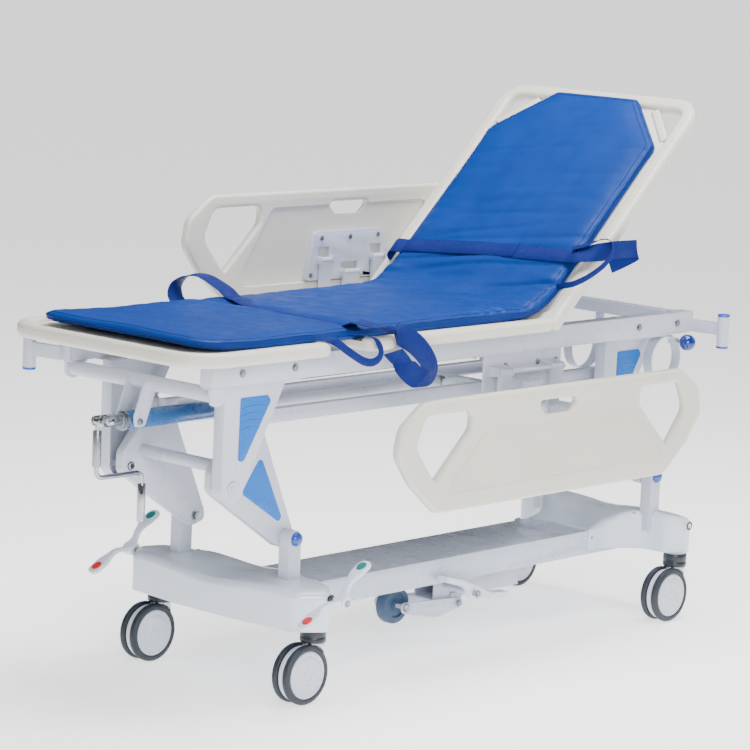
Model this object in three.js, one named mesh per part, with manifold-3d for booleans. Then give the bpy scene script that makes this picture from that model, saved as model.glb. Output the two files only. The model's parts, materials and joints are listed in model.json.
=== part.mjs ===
// Hospital stretcher trolley: four-caster base, screw-jack height adjustment on two pairs of
// rockers, raised backrest on a gas spring, two swing-down side rails and a fold-away crank.
// Millimetres. +X runs from the foot end to the head end, +Z is up, near side is -Y.
// The origin is on the floor, under the middle of the trolley's overall length and width.
import * as THREE from 'three';
import { mergeVertices } from 'three/addons/utils/BufferGeometryUtils.js';
import Module from 'manifold-3d';

const wasm = await Module();
wasm.setup();

// ---------------------------------------------------------------- driving dimensions
const X_SHIFT = 220;          // from the base's centre to the middle of the overall length
const FIT = 0.3;              // gap between touching pieces
const SHEET = 4;              // sheet metal and shell thickness
const PIN_SIDES = 8;          // facets of a pin

const WHEEL_R = 75;           // twin caster wheels
const WHEEL_W = 20;
const WHEEL_IN = 8.5;         // inner face of each wheel from the caster's middle
const STEM_X = 730;           // caster stems
const STEM_Y = 272;
const TRAIL = 41;             // axle behind the stem
const STEM_R = 31;
const STEM_Z = 151;           // underside of the fixed collar

const COVER_Z0 = 188;         // plastic base covers
const COVER_Z1 = 296;
const BEAM_Y = 108;           // half width of the base tray
const BEAM_Z0 = 176;
const BEAM_Z1 = 243;
const SEAM_X = 540;           // where the covers meet the tray
const BRAKE_Z = 268;          // cross shaft of the central brake

const FOOT_B = -741;          // rocker pivots on the base posts
const HEAD_B = 705;
const B_Z = 396;
const A_DX = -230;            // upper pivot from the base pivot
const A_DZ = 151;
const C_DX = -127;            // synchronising pivot from the base pivot
const C_DZ = 297;
const POST_Y0 = 173;
const POST_Y1 = 211;
const ROCKER_Y0 = 142;
const ROCKER_Y1 = 171;
const HANGER_Y0 = 181;
const HANGER_Y1 = 215;
const LINK_Y0 = 112;
const LINK_Y1 = 136;
const PIN_R = 9;

const TUBE_Y0 = 225;          // side tubes of the upper frame
const TUBE_Y1 = 265;
const TUBE_Z0 = 808;
const TUBE_Z1 = 866;
const TUBE_FOOT = -1103;
const TUBE_HEAD = 752;

const DECK_Z0 = 869;          // moulded deck sections
const DECK_T = 36;
const DECK_Y = 350;
const PAN_T = 8;
const RIM_W = 34;
const LEG_FOOT = -1232;
const LEG_HEAD = -782;
const SEAT_FOOT = -648;
const SEAT_HEAD = 51;
const HINGE_X = 72;           // backrest hinge
const HINGE_Z = DECK_Z0 + DECK_T / 2;
const BACK_L = 805;
const BACK_Y = 345;
const BACK_RIM = 44;
const BACK_CORNER = 84;       // outer radius of the top corners
const GRIP_U = 96;            // legs of the triangular holes at the top corners
const GRIP_Y = 84;
const BACK_ANGLE = 44;        // degrees, as it rests
const PAD_T = 40;             // mattress thickness
const PAD_Y = 304;

const RAIL_X = 27;            // side rails
const RAIL_TOP_LOW = 740;
const RAIL_RISE = 435;
const RAIL_H = 286;
const ARM_PIVOT_Y = 296;
const ARM_PIVOT_Z = 767;
const ARM_END_Y = 358;
const ARM_X = 103;            // arms either side of the rail's middle
const ARM_T = 8;
const SHAFT_R = 6;            // shaft that joins both arms at the frame
const LINK_DROP = 37;         // middle link below the arms
const RAIL_PIVOT_DROP = ARM_PIVOT_Z - RAIL_RISE / 2 - RAIL_TOP_LOW;

const FOOT_A = FOOT_B + A_DX;
const HEAD_A = HEAD_B + A_DX;
const A_Z = B_Z + A_DZ;
const C_Z = B_Z + C_DZ;
const PAN_Z = DECK_Z0 + DECK_T / 2 - 2;

// ---------------------------------------------------------------- materials
const finish = (color, roughness, metalness) => new THREE.MeshStandardMaterial({ color, roughness, metalness });
const FRAME_PAINT = [0xc6cad6, 0.45, 0.1];
const COVER = [0xe2eaf3, 0.35, 0];
const SHELL = [0xe8e8e2, 0.4, 0];
const STEEL = [0xb4b8bf, 0.3, 0.9];
const DARK = [0x3a4652, 0.7, 0];
const BLUE = [0x507da8, 0.35, 0.3];
const FABRIC = [0x185aaf, 0.85, 0];

// ---------------------------------------------------------------- solids
const degrees = angle => angle * Math.PI / 180;

function solidOf(geometry) {
  const bare = geometry.clone();
  bare.deleteAttribute('normal');
  bare.deleteAttribute('uv');
  const merged = mergeVertices(bare, 1e-3);
  const vertProperties = new Float32Array(merged.attributes.position.array);
  const triVerts = new Uint32Array(merged.index.array);
  return new wasm.Manifold(new wasm.Mesh({ numProp: 3, vertProperties, triVerts }));
}

// Radius of a faceted bore that a faceted pin turns in without touching.
const boreFor = radius => radius / Math.cos(Math.PI / PIN_SIDES) + FIT;
const join = (first, ...rest) => rest.reduce((sum, part) => sum.add(part), first);
const cut = (first, ...rest) => rest.reduce((left, part) => left.subtract(part), first);

function box(x0, x1, y0, y1, z0, z1) {
  const geometry = new THREE.BoxGeometry(x1 - x0, y1 - y0, z1 - z0);
  geometry.translate((x0 + x1) / 2, (y0 + y1) / 2, (z0 + z1) / 2);
  return solidOf(geometry);
}

// A closed outline with rounded corners. Each point is [a, b] or [a, b, radius].
function outline(points, radius = 0) {
  const shape = new THREE.Shape();
  points.forEach((point, i) => {
    const here = new THREE.Vector2(point[0], point[1]);
    const before = new THREE.Vector2(...points[(i + points.length - 1) % points.length].slice(0, 2));
    const after = new THREE.Vector2(...points[(i + 1) % points.length].slice(0, 2));
    const corner = point[2] ?? radius;
    const room = 0.49 * Math.min(before.distanceTo(here), after.distanceTo(here));
    const inDir = before.sub(here).normalize();
    const outDir = after.sub(here).normalize();
    const half = Math.acos(THREE.MathUtils.clamp(inDir.dot(outDir), -1, 1)) / 2;
    const reach = Math.min(corner / Math.tan(half), room);
    const start = here.clone().addScaledVector(inDir, reach);
    const end = here.clone().addScaledVector(outDir, reach);
    if (i === 0) shape.moveTo(start.x, start.y);
    else shape.lineTo(start.x, start.y);
    if (corner > 0) shape.quadraticCurveTo(here.x, here.y, end.x, end.y);
  });
  return shape;
}

// Moves every edge of a convex outline inwards.
function inset(points, distance) {
  const turn = points.reduce((sum, p, i) => {
    const q = points[(i + 1) % points.length];
    return sum + p[0] * q[1] - q[0] * p[1];
  }, 0) > 0 ? 1 : -1;
  const edges = points.map((p, i) => {
    const q = points[(i + 1) % points.length];
    const direction = new THREE.Vector2(q[0] - p[0], q[1] - p[1]).normalize();
    const normal = new THREE.Vector2(-direction.y * turn, direction.x * turn);
    return { p: new THREE.Vector2(p[0], p[1]).addScaledVector(normal, distance), d: direction };
  });
  return points.map((p, i) => {
    const a = edges[(i + points.length - 1) % points.length];
    const b = edges[i];
    const t = b.p.clone().sub(a.p).cross(b.d) / a.d.cross(b.d);
    const corner = a.p.clone().addScaledVector(a.d, t);
    return [corner.x, corner.y, Math.max(0, (p[2] ?? 0) - distance)];
  });
}

function extruded(shape, depth, curveSegments) {
  return new THREE.ExtrudeGeometry(shape, { depth, bevelEnabled: false, curveSegments });
}

// Outlines drawn in X-Z, Y-Z and X-Y, extruded between two planes.
function slabY(shape, y0, y1, curveSegments = 2) {
  const geometry = extruded(shape, y1 - y0, curveSegments);
  geometry.rotateX(Math.PI / 2);
  geometry.translate(0, y1, 0);
  return solidOf(geometry);
}

function slabX(shape, x0, x1, curveSegments = 2) {
  const geometry = extruded(shape, x1 - x0, curveSegments);
  geometry.applyMatrix4(new THREE.Matrix4().set(0, 0, 1, 0, 1, 0, 0, 0, 0, 1, 0, 0, 0, 0, 0, 1));
  geometry.translate(x0, 0, 0);
  return solidOf(geometry);
}

function slabZ(shape, z0, z1, curveSegments = 3) {
  const geometry = extruded(shape, z1 - z0, curveSegments);
  geometry.translate(0, 0, z0);
  return solidOf(geometry);
}

function rod(start, end, radius, sides = PIN_SIDES) {
  const a = new THREE.Vector3(...start);
  const b = new THREE.Vector3(...end);
  const geometry = new THREE.CylinderGeometry(radius, radius, a.distanceTo(b), sides);
  const turn = new THREE.Quaternion().setFromUnitVectors(new THREE.Vector3(0, 1, 0), b.clone().sub(a).normalize());
  geometry.applyQuaternion(turn);
  geometry.translate((a.x + b.x) / 2, (a.y + b.y) / 2, (a.z + b.z) / 2);
  return solidOf(geometry);
}

const rodY = (x, z, y0, y1, radius, sides) => rod([x, y0, z], [x, y1, z], radius, sides);

// A round bar along straight runs with rounded bends.
function bentRod(points, radius, bend, steps) {
  const corners = points.map(point => new THREE.Vector3(...point));
  const path = new THREE.CurvePath();
  let last = corners[0];
  corners.slice(1, -1).forEach((corner, i) => {
    const start = corner.clone().add(corners[i].clone().sub(corner).setLength(bend));
    const end = corner.clone().add(corners[i + 2].clone().sub(corner).setLength(bend));
    path.add(new THREE.LineCurve3(last, start));
    path.add(new THREE.QuadraticBezierCurve3(start, corner, end));
    last = end;
  });
  path.add(new THREE.LineCurve3(last, corners.at(-1)));
  const ring = new THREE.Shape();
  ring.absarc(0, 0, radius, 0, 2 * Math.PI, false);
  return solidOf(new THREE.ExtrudeGeometry(ring, { extrudePath: path, steps, curveSegments: 4 }));
}

// A body turned about an axis parallel to Y. The profile is [radius, y] and closes on the axis.
function turnedY(profile, x, z, sides) {
  const geometry = new THREE.LatheGeometry(profile.map(([r, y]) => new THREE.Vector2(r, y)), sides);
  geometry.translate(x, 0, z);
  return solidOf(geometry);
}

const trolley = new THREE.Group();
trolley.position.x = X_SHIFT;

function piece(name, solid, look, parent = trolley) {
  const mesh = solid.getMesh();
  const geometry = new THREE.BufferGeometry();
  geometry.setAttribute('position', new THREE.BufferAttribute(mesh.vertProperties, 3));
  geometry.setIndex(new THREE.BufferAttribute(mesh.triVerts, 1));
  const node = new THREE.Mesh(geometry, finish(...look));
  node.name = name;
  parent.add(node);
  return node;
}

// ---------------------------------------------------------------- base
// Plan outline of one moulded cover. It starts as wide as the tray and flares out to both
// caster corners; `far` is the outermost reach, `tip` the corner beside the caster.
function coverPlan(far, tipX, tipY, margin) {
  const side = [
    [SEAM_X, BEAM_Y + 5 - margin],
    [SEAM_X + 62, BEAM_Y + 7 - margin, 20],
    [SEAM_X + 157 + margin, BEAM_Y + 75 - margin, 40],
    [STEM_X - 34 + margin, tipY - 46 - margin, 20],
    [tipX - margin, tipY - margin, 14],
    [far - 22 - margin, tipY - 60 - margin, 30],
    [far - margin, 90, 20],
  ];
  const mirrored = side.map(([x, y, r]) => [x, -y, r]).reverse();
  return outline([...side, ...mirrored]);
}

// The saddle top dips between the wings and falls to the tray.
function coverBlock(sign, far, tipX, tipY, margin) {
  const top = COVER_Z1 - margin;
  const plan = slabZ(coverPlan(far, tipX, tipY, margin), COVER_Z0 - (margin ? 20 : 0), top + 5, 2);
  const crown = new THREE.Shape();
  crown.moveTo(-400, 100);
  crown.lineTo(400, 100);
  crown.lineTo(400, top - 14);
  crown.quadraticCurveTo(tipY, top - 4, POST_Y1, top);
  crown.bezierCurveTo(110, top + 2, 80, top - 34, 0, top - 34);
  crown.bezierCurveTo(-80, top - 34, -110, top + 2, -POST_Y1, top);
  crown.quadraticCurveTo(-tipY, top - 4, -400, top - 14);
  const rise = new THREE.Shape();
  const seamTop = BEAM_Z1 + 5 - margin;
  rise.moveTo(SEAM_X - 5, 100);
  rise.lineTo(SEAM_X - 5, seamTop);
  rise.lineTo(SEAM_X + 25, seamTop);
  rise.bezierCurveTo(SEAM_X + 70, seamTop + 4, SEAM_X + 80, top, SEAM_X + 150, top + 1);
  rise.lineTo(far - 70, top + 1);
  rise.quadraticCurveTo(far - 10, top - 4, far + 2, top - 40);
  rise.lineTo(far + 10, 100);
  const block = plan.intersect(slabX(crown, SEAM_X - 5, far + 10, 3)).intersect(slabY(rise, -400, 400, 3));
  return sign > 0 ? block : block.rotate([0, 0, 180]);
}

function baseCover(name, sign, far, tipX, tipY, postX, shaftX) {
  const shell = coverBlock(sign, far, tipX, tipY, 0);
  const hollow = coverBlock(sign, far, tipX, tipY, SHEET);
  const mouth = sign * (SEAM_X - 10);
  const open = box(Math.min(mouth, mouth + sign * 30), Math.max(mouth, mouth + sign * 30),
    -BEAM_Y - FIT * 2, BEAM_Y + FIT * 2, BEAM_Z0 - 20, BEAM_Z1 + FIT * 2);
  const posts = [-1, 1].map(side => box(postX - 22, postX + 22,
    side * (POST_Y0 + POST_Y1) / 2 - 20, side * (POST_Y0 + POST_Y1) / 2 + 20, 200, 400));
  const shaft = rodY(shaftX, BRAKE_Z, -400, 400, 13);
  return piece(name, cut(shell, hollow, open, ...posts, shaft), COVER);
}

baseCover('base_foot_cover', -1, 838, 748, 345, FOOT_B, FOOT_B);
baseCover('base_head_cover', 1, 792, 758, 322, HEAD_B, HEAD_B);

// Steel base: pressed tray open underneath, a cross bar at each end and four caster stems.
function baseFrame() {
  const tray = cut(box(-STEM_X + 10, STEM_X - 10, -BEAM_Y, BEAM_Y, BEAM_Z0, BEAM_Z1),
    box(-STEM_X, STEM_X, -BEAM_Y + SHEET, BEAM_Y - SHEET, BEAM_Z0 - 5, BEAM_Z1 - SHEET));
  const bars = [-1, 1].map(side => box(side * STEM_X - 18, side * STEM_X + 18, -276, 276, 203, 240));
  const stems = [-1, 1].flatMap(sx => [-1, 1].flatMap(sy => [
    rod([sx * STEM_X, sy * STEM_Y, STEM_Z], [sx * STEM_X, sy * STEM_Y, COVER_Z0 - FIT], STEM_R, 16),
    rod([sx * STEM_X, sy * STEM_Y, COVER_Z0 - 5], [sx * STEM_X, sy * STEM_Y, 225], 14)]));
  return join(tray, ...bars, ...stems);
}
piece('base_frame', baseFrame(), FRAME_PAINT);

// Square posts with a domed top, each carrying its rocker pin.
function post(x, side) {
  const profile = new THREE.Shape();
  const z0 = 240 + FIT;
  profile.moveTo(x - 21, z0);
  profile.lineTo(x + 21, z0);
  profile.lineTo(x + 21, B_Z);
  profile.absarc(x, B_Z, 21, 0, Math.PI, false);
  const body = slabY(profile, Math.min(side * POST_Y0, side * POST_Y1), Math.max(side * POST_Y0, side * POST_Y1), 4);
  const inner = box(x - 17, x + 17, side > 0 ? POST_Y0 + SHEET : -POST_Y1 + SHEET,
    side > 0 ? POST_Y1 - SHEET : -POST_Y0 - SHEET, z0 - 5, B_Z - 14);
  const pin = rodY(x, B_Z, side * (ROCKER_Y0 - 6), side * (POST_Y1 - 5), PIN_R);
  const shaftHole = rodY(x, BRAKE_Z, side * (POST_Y0 - 5), side * (POST_Y1 + 5), 11);
  return cut(join(cut(body, inner), pin), shaftHole);
}
for (const [end, x] of [['foot', FOOT_B], ['head', HEAD_B]]) {
  piece(`${end}_post_near`, post(x, -1), FRAME_PAINT);
  piece(`${end}_post_far`, post(x, 1), FRAME_PAINT);
}

// Central brake: a hexagonal cross shaft and a two-pad pedal on each end.
const PEDAL_Y0 = 354;
const PEDAL_Y1 = 394;
const PEDAL_TILT = 31;
const PEDAL_RED = 142;         // reach of the red and green ends from the shaft
const PEDAL_GREEN = 121;
const SHAFT_ACROSS = 9;
piece('brake_shaft', rodY(FOOT_B, BRAKE_Z, -PEDAL_Y0 - 8, PEDAL_Y0 + 8, SHAFT_ACROSS, 6), STEEL);

function brakePedal(side) {
  const board = new THREE.Shape();
  board.moveTo(-PEDAL_RED, 26);
  board.lineTo(-60, 26);
  board.quadraticCurveTo(-30, 18, -15, -2);
  board.absarc(0, -14, 17, degrees(160), degrees(20), false);
  board.quadraticCurveTo(20, 14, 42, 26);
  board.lineTo(PEDAL_GREEN, 26);
  board.lineTo(PEDAL_GREEN, 39);
  board.lineTo(-PEDAL_RED, 39);
  const low = Math.min(side * PEDAL_Y0, side * PEDAL_Y1);
  const high = Math.max(side * PEDAL_Y0, side * PEDAL_Y1);
  const mid = (low + high) / 2;
  const plan = outline([[-PEDAL_RED, low, 18], [-80, low, 10], [-70, mid - 11, 5], [-8, mid - 11, 5], [0, low, 2],
    [14, low, 2], [30, mid - 11, 5], [48, mid - 11, 5], [58, low, 10], [PEDAL_GREEN, low, 18], [PEDAL_GREEN, high, 18],
    [58, high, 10], [48, mid + 11, 5], [-70, mid + 11, 5], [-80, high, 10], [-PEDAL_RED, high, 18]]);
  const body = slabY(board, low, high, 2).intersect(slabZ(plan, -60, 60, 1));
  const hub = rodY(0, -14, side * PEDAL_Y0, side * (PEDAL_Y0 + 22), 17);
  const bore = rodY(0, 0, side * (PEDAL_Y0 - 5), side * (PEDAL_Y0 + 10), SHAFT_ACROSS + FIT, 6)
    .rotate([0, PEDAL_TILT, 0]).translate([0, 0, -14]);
  return cut(join(body, hub), bore);
}
for (const [name, side] of [['brake_pedal_near', -1], ['brake_pedal_far', 1]]) {
  const pivot = new THREE.Group();
  pivot.position.set(FOOT_B, 0, BRAKE_Z);
  pivot.rotation.y = degrees(-PEDAL_TILT);
  const offset = new THREE.Group();
  offset.position.z = 14;
  pivot.add(offset);
  trolley.add(pivot);
  piece(name, brakePedal(side), COVER, offset);
}

// ---------------------------------------------------------------- casters
// Swivelling housing: a neck under the collar and a round web between the wheels.
function casterHousing() {
  const neck = rod([0, 0, 104], [0, 0, STEM_Z - FIT], STEM_R - 2, 16);
  const web = turnedY([[0, -WHEEL_IN + 1], [64, -WHEEL_IN + 1], [64, WHEEL_IN - 1], [0, WHEEL_IN - 1]], -TRAIL, WHEEL_R, 20);
  const room = [-1, 1].map(side => turnedY([[0, 0], [WHEEL_R + 2, 0], [WHEEL_R + 2, 30], [0, 30]]
    .map(([r, y]) => [r, side > 0 ? WHEEL_IN - 1 + y : -WHEEL_IN + 1 - 30 + y]), -TRAIL, WHEEL_R, 20));
  const bore = rodY(-TRAIL, WHEEL_R, -20, 20, boreFor(7));
  return cut(join(cut(neck, ...room), web), bore);
}

// Both wheels on their common axle.
function wheelPair() {
  const inner = WHEEL_IN;
  const outer = WHEEL_IN + WHEEL_W;
  const profile = [[0, inner], [WHEEL_R, inner], [WHEEL_R, outer - 5], [WHEEL_R - 6, outer], [0, outer]];
  const wheels = [1, -1].map(side => turnedY(side > 0 ? profile : profile.map(([r, y]) => [r, -y]).reverse(),
    -TRAIL, WHEEL_R, 20));
  return join(wheels[0], wheels[1], rodY(-TRAIL, WHEEL_R, -inner - 2, inner + 2, 7));
}
for (const [end, sx] of [['foot', -1], ['head', 1]]) {
  for (const [flank, sy] of [['near', -1], ['far', 1]]) {
    const caster = new THREE.Group();
    caster.position.set(sx * STEM_X, sy * STEM_Y, 0);
    trolley.add(caster);
    piece(`caster_housing_${end}_${flank}`, casterHousing(), SHELL, caster);
    piece(`caster_wheels_${end}_${flank}`, wheelPair(), DARK, caster);
  }
}

// ---------------------------------------------------------------- fifth wheel
const FIFTH_X = -140;
const FIFTH_Z = 108;
const FIFTH_R = 50;
const FIFTH_PIVOT_X = 70;
const FIFTH_PIVOT_Z = 93;
const FIFTH_PEDAL_X = 26;
const FIFTH_PEDAL_Z = 143;

function fifthBracket() {
  const tube = cut(box(-15, 335, -35, 35, 106, BEAM_Z0 - FIT), box(-20, 340, -31, 31, 110, BEAM_Z0 - FIT - SHEET));
  const ears = [-1, 1].map(side => slabY(outline([[48, 120], [48, 76, 18], [92, 76, 18], [92, 120]]),
    side > 0 ? 34 : -42, side > 0 ? 42 : -34));
  const pin = rodY(FIFTH_PIVOT_X, FIFTH_PIVOT_Z, -54, 54, 7);
  const boss = rodY(FIFTH_PEDAL_X, FIFTH_PEDAL_Z, -118, -30, 8);
  return join(tube, ...ears, pin, boss);
}
piece('fifth_wheel_bracket', fifthBracket(), FRAME_PAINT);

function fifthArm() {
  const side = outline([[FIFTH_X - 14, FIFTH_Z + 14, 12], [FIFTH_X - 16, FIFTH_Z - 14, 14], [-22, 66, 6],
    [0, 66, 6], [FIFTH_PIVOT_X + 14, FIFTH_PIVOT_Z - 12, 14], [FIFTH_PIVOT_X + 12, FIFTH_PIVOT_Z + 14, 14]]);
  const plates = [slabY(side, -50, -44), slabY(side, 44, 50)];
  const tie = rodY(-62, 90, -46, 46, 8);
  const axle = rodY(FIFTH_X, FIFTH_Z, -52, 52, 6);
  const bores = rodY(FIFTH_PIVOT_X, FIFTH_PIVOT_Z, -60, 60, boreFor(7));
  return cut(join(...plates, tie, axle), bores);
}
piece('fifth_wheel_arm', fifthArm(), FRAME_PAINT);
piece('fifth_wheel', turnedY([[6 + FIT, -17], [FIFTH_R - 3, -17], [FIFTH_R, -12], [FIFTH_R, 12], [FIFTH_R - 3, 17],
  [6 + FIT, 17], [6 + FIT, -17]], FIFTH_X, FIFTH_Z, 18), DARK);

function fifthPedal() {
  const web = new THREE.Shape();
  web.moveTo(-130, 48);
  web.lineTo(-60, 28);
  web.lineTo(-20, 10);
  web.quadraticCurveTo(-14, -20, 4, -18);
  web.lineTo(62, -22);
  web.lineTo(134, -26);
  web.lineTo(134, -12);
  web.lineTo(62, -6);
  web.lineTo(20, 14);
  web.lineTo(-56, 44);
  web.lineTo(-126, 62);
  const pads = outline([[-136, -150], [-56, -150, 6], [-48, -138, 4], [52, -138, 4], [60, -150, 6], [138, -150],
    [138, -116], [-136, -116]]);
  const body = slabY(web, -150, -116).intersect(slabZ(pads, -60, 90));
  const bore = rodY(0, 0, -155, -110, boreFor(8));
  return cut(body, bore);
}
const fifthPivot = new THREE.Group();
fifthPivot.position.set(FIFTH_PEDAL_X, 0, FIFTH_PEDAL_Z);
trolley.add(fifthPivot);
piece('fifth_wheel_pedal', fifthPedal().translate([0, -4, 0]), COVER, fifthPivot);

// ---------------------------------------------------------------- lifting linkage
// Bell-crank rocker: two plates joined by a tube, with bores for its three pivots.
function rocker(bx, slack) {
  const plate = outline([[bx + 34, B_Z - 14, 26], [bx + 30, B_Z + 14, 16], [bx + C_DX + 28, C_Z + 6, 24],
    [bx + C_DX - 20, C_Z + 18, 22], [bx + A_DX - 26, A_Z + 36, 30], [bx + A_DX - 26, A_Z - 14, 22],
    [bx + A_DX - 4, A_Z - 30, 18], [bx - 14, B_Z - 27, 24]]);
  const plates = [slabY(plate, -ROCKER_Y1, -ROCKER_Y0), slabY(plate, ROCKER_Y0, ROCKER_Y1)];
  const tie = rodY(bx + A_DX + 41, A_Z + 35, -ROCKER_Y0 - 5, ROCKER_Y0 + 5, 16, 12);
  const bores = [[bx, B_Z, 0], [bx + A_DX, A_Z, slack], [bx + C_DX, C_Z, slack]]
    .flatMap(([x, z, extra]) => [-1, 1].map(side =>
      rodY(x, z, side * (ROCKER_Y0 - 8), side * (ROCKER_Y1 + 8), boreFor(PIN_R) + extra)));
  return cut(join(...plates, tie), ...bores);
}
piece('foot_rocker', rocker(FOOT_B, 0), FRAME_PAINT);
piece('head_rocker', rocker(HEAD_B, 0.7), FRAME_PAINT);

// Two long channels and their tie keep both rockers at the same angle.
function linkFrame() {
  const x0 = FOOT_B + C_DX;
  const x1 = HEAD_B + C_DX;
  const beams = [-1, 1].map(side => {
    const low = Math.min(side * LINK_Y0, side * LINK_Y1);
    const high = Math.max(side * LINK_Y0, side * LINK_Y1);
    const whole = box(x0 - 20, x1 + 20, low, high, C_Z - 17, C_Z + 17);
    const groove = box(x0 + 20, x1 - 20, side > 0 ? low - 5 : low + SHEET, side > 0 ? high - SHEET : high + 5,
      C_Z - 17 + SHEET, C_Z + 17 - SHEET);
    return cut(whole, groove);
  });
  const pins = [x0, x1].flatMap(x => [-1, 1].map(side =>
    rodY(x, C_Z, side * (LINK_Y0 + 3), side * (ROCKER_Y1 + 4), PIN_R)));
  const tie = box(40, 70, -LINK_Y0 - 3, LINK_Y0 + 3, C_Z - 15, C_Z + 15);
  const lugs = [-1, 1].map(side => slabY(outline([[42, C_Z - 15], [42, C_Z + 15], [-12, C_Z + 15, 14], [-12, C_Z - 15, 14]]),
    side > 0 ? 24 : -30, side > 0 ? 30 : -24));
  return join(...beams, tie, ...pins, ...lugs);
}
piece('link_frame', linkFrame(), FRAME_PAINT);

// Screw jack: outer tube on trunnions, long push tube inside it.
const JACK_X = -1110;
const JACK_Z = 697;
const JACK_FRONT = -822;
const JACK_BACK = -1150;
const PUSH_START = -950;
const PUSH_END = 18;
function jackTube() {
  const barrel = rod([JACK_BACK, 0, JACK_Z], [JACK_FRONT, 0, JACK_Z], 23, 16);
  const trunnions = rodY(JACK_X, JACK_Z, -38, 38, 7);
  const hollow = rod([JACK_BACK + 60, 0, JACK_Z], [JACK_FRONT + 5, 0, JACK_Z], 18.5, 16);
  return cut(join(barrel, trunnions), hollow);
}
piece('jack_tube', jackTube(), BLUE);
piece('jack_push_tube', rod([PUSH_START, 0, JACK_Z], [PUSH_END, 0, C_Z], 17, 16), FRAME_PAINT);

// Crank: input shaft with a fork, and the folded handle that hangs from it.
const CRANK_X = -1216;
const CRANK_Z = 703;
const CRANK_DROP = 138;
const CRANK_ARM = 150;
const CRANK_GRIP = 122;
function crankFork() {
  const collar = rod([-1192, 0, CRANK_Z - 2], [JACK_BACK - FIT, 0, CRANK_Z - 2], 16, 12);
  const ears = [-1, 1].map(side => slabY(outline([[-1190, CRANK_Z + 12], [-1190, CRANK_Z - 14],
    [CRANK_X - 10, CRANK_Z - 12, 10], [CRANK_X - 10, CRANK_Z + 12, 10]]), side > 0 ? 8 : -13, side > 0 ? 13 : -8));
  const bridge = box(-1196, -1188, -12, 12, CRANK_Z - 13, CRANK_Z + 11);
  const pin = rodY(CRANK_X, CRANK_Z, -15, 15, 4);
  return join(collar, bridge, ...ears, pin);
}
piece('crank_fork', crankFork(), STEEL);

function crankHandle() {
  const eye = rodY(0, 0, -7, 7, 9);
  const rodPart = bentRod([[0, 0, 0], [0, 0, -CRANK_DROP], [CRANK_ARM, 0, -CRANK_DROP],
    [CRANK_ARM, 0, -CRANK_DROP - 30]], 6, 20, 18);
  const sleeve = rod([0, 0, -22], [0, 0, -CRANK_DROP + 28], 11, 12);
  const grip = rod([CRANK_ARM, 0, -CRANK_DROP - 28], [CRANK_ARM, 0, -CRANK_DROP - CRANK_GRIP], 9, 12);
  const bore = rodY(0, 0, -10, 10, boreFor(4));
  return cut(join(eye, rodPart, sleeve, grip), bore);
}
const crankPivot = new THREE.Group();
crankPivot.position.set(CRANK_X, 0, CRANK_Z);
trolley.add(crankPivot);
piece('crank_handle', crankHandle(), STEEL, crankPivot);

// ---------------------------------------------------------------- upper frame
function sideTube(side) {
  const low = Math.min(side * TUBE_Y0, side * TUBE_Y1);
  const high = Math.max(side * TUBE_Y0, side * TUBE_Y1);
  return cut(box(TUBE_FOOT, TUBE_HEAD, low, high, TUBE_Z0, TUBE_Z1),
    box(TUBE_FOOT - 5, TUBE_HEAD + 5, low + 3, high - 3, TUBE_Z0 + 3, TUBE_Z1 - 3));
}
const headCrossTube = box(712, 750, -TUBE_Y0 - 1, TUBE_Y0 + 1, 828, 862);
piece('upper_frame', join(sideTube(-1), sideTube(1), headCrossTube), FRAME_PAINT);

// Foot cross tube with its end plates and the two ears that carry the jack.
function footCrossTube() {
  const x = -1073;
  const z = 787;
  const tube = rodY(x, z, -250, 250, 19, 14);
  const ends = [-1, 1].map(side => slabY(outline([[x - 25, TUBE_Z0 - FIT], [x - 25, z - 26, 22], [x + 25, z - 26, 22],
    [x + 25, TUBE_Z0 - FIT]]), side > 0 ? 248 : -256, side > 0 ? 256 : -248));
  const feet = [-1, 1].map(side => box(x - 25, x + 25, side > 0 ? 228 : -262, side > 0 ? 262 : -228,
    TUBE_Z0 - FIT - 5, TUBE_Z0 - FIT));
  const ears = [-1, 1].map(side => slabY(outline([[x - 24, z + 8], [x + 22, z + 8], [JACK_X + 18, JACK_Z - 12, 12],
    [JACK_X - 16, JACK_Z - 16, 14], [JACK_X - 18, JACK_Z + 16, 8]]), side > 0 ? 27 : -33, side > 0 ? 33 : -27));
  const bores = rodY(JACK_X, JACK_Z, -40, 40, boreFor(7));
  return cut(join(tube, ...ends, ...feet, ...ears), bores);
}
piece('foot_cross_tube', footCrossTube(), FRAME_PAINT);

// Folded hanger with the pin of the rocker's upper pivot.
function hanger(ax, side) {
  const low = Math.min(side * HANGER_Y0, side * HANGER_Y1);
  const high = Math.max(side * HANGER_Y0, side * HANGER_Y1);
  const face = [[ax - 38, TUBE_Z0 - FIT], [ax - 38, A_Z - 8, 26], [ax - 14, A_Z - 38, 22], [ax + 20, A_Z - 34, 24],
    [ax + 174, TUBE_Z0 - FIT]];
  const pan = cut(slabY(outline(face), low, high), slabY(outline(inset(face, SHEET)),
    side > 0 ? low - 5 : low + SHEET, side > 0 ? high - SHEET : high + 5));
  const flange = box(ax - 38, ax + 174, side > 0 ? HANGER_Y0 : -TUBE_Y1 + 3, side > 0 ? TUBE_Y1 - 3 : -HANGER_Y0,
    TUBE_Z0 - FIT - SHEET, TUBE_Z0 - FIT);
  const pin = rodY(ax, A_Z, side * (ROCKER_Y0 - 6), side * (HANGER_Y1 - 1), PIN_R);
  return join(pan, flange, pin);
}
for (const [end, ax] of [['foot', FOOT_A], ['head', HEAD_A]]) {
  piece(`${end}_hanger_near`, hanger(ax, -1), FRAME_PAINT);
  piece(`${end}_hanger_far`, hanger(ax, 1), FRAME_PAINT);
}

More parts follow.
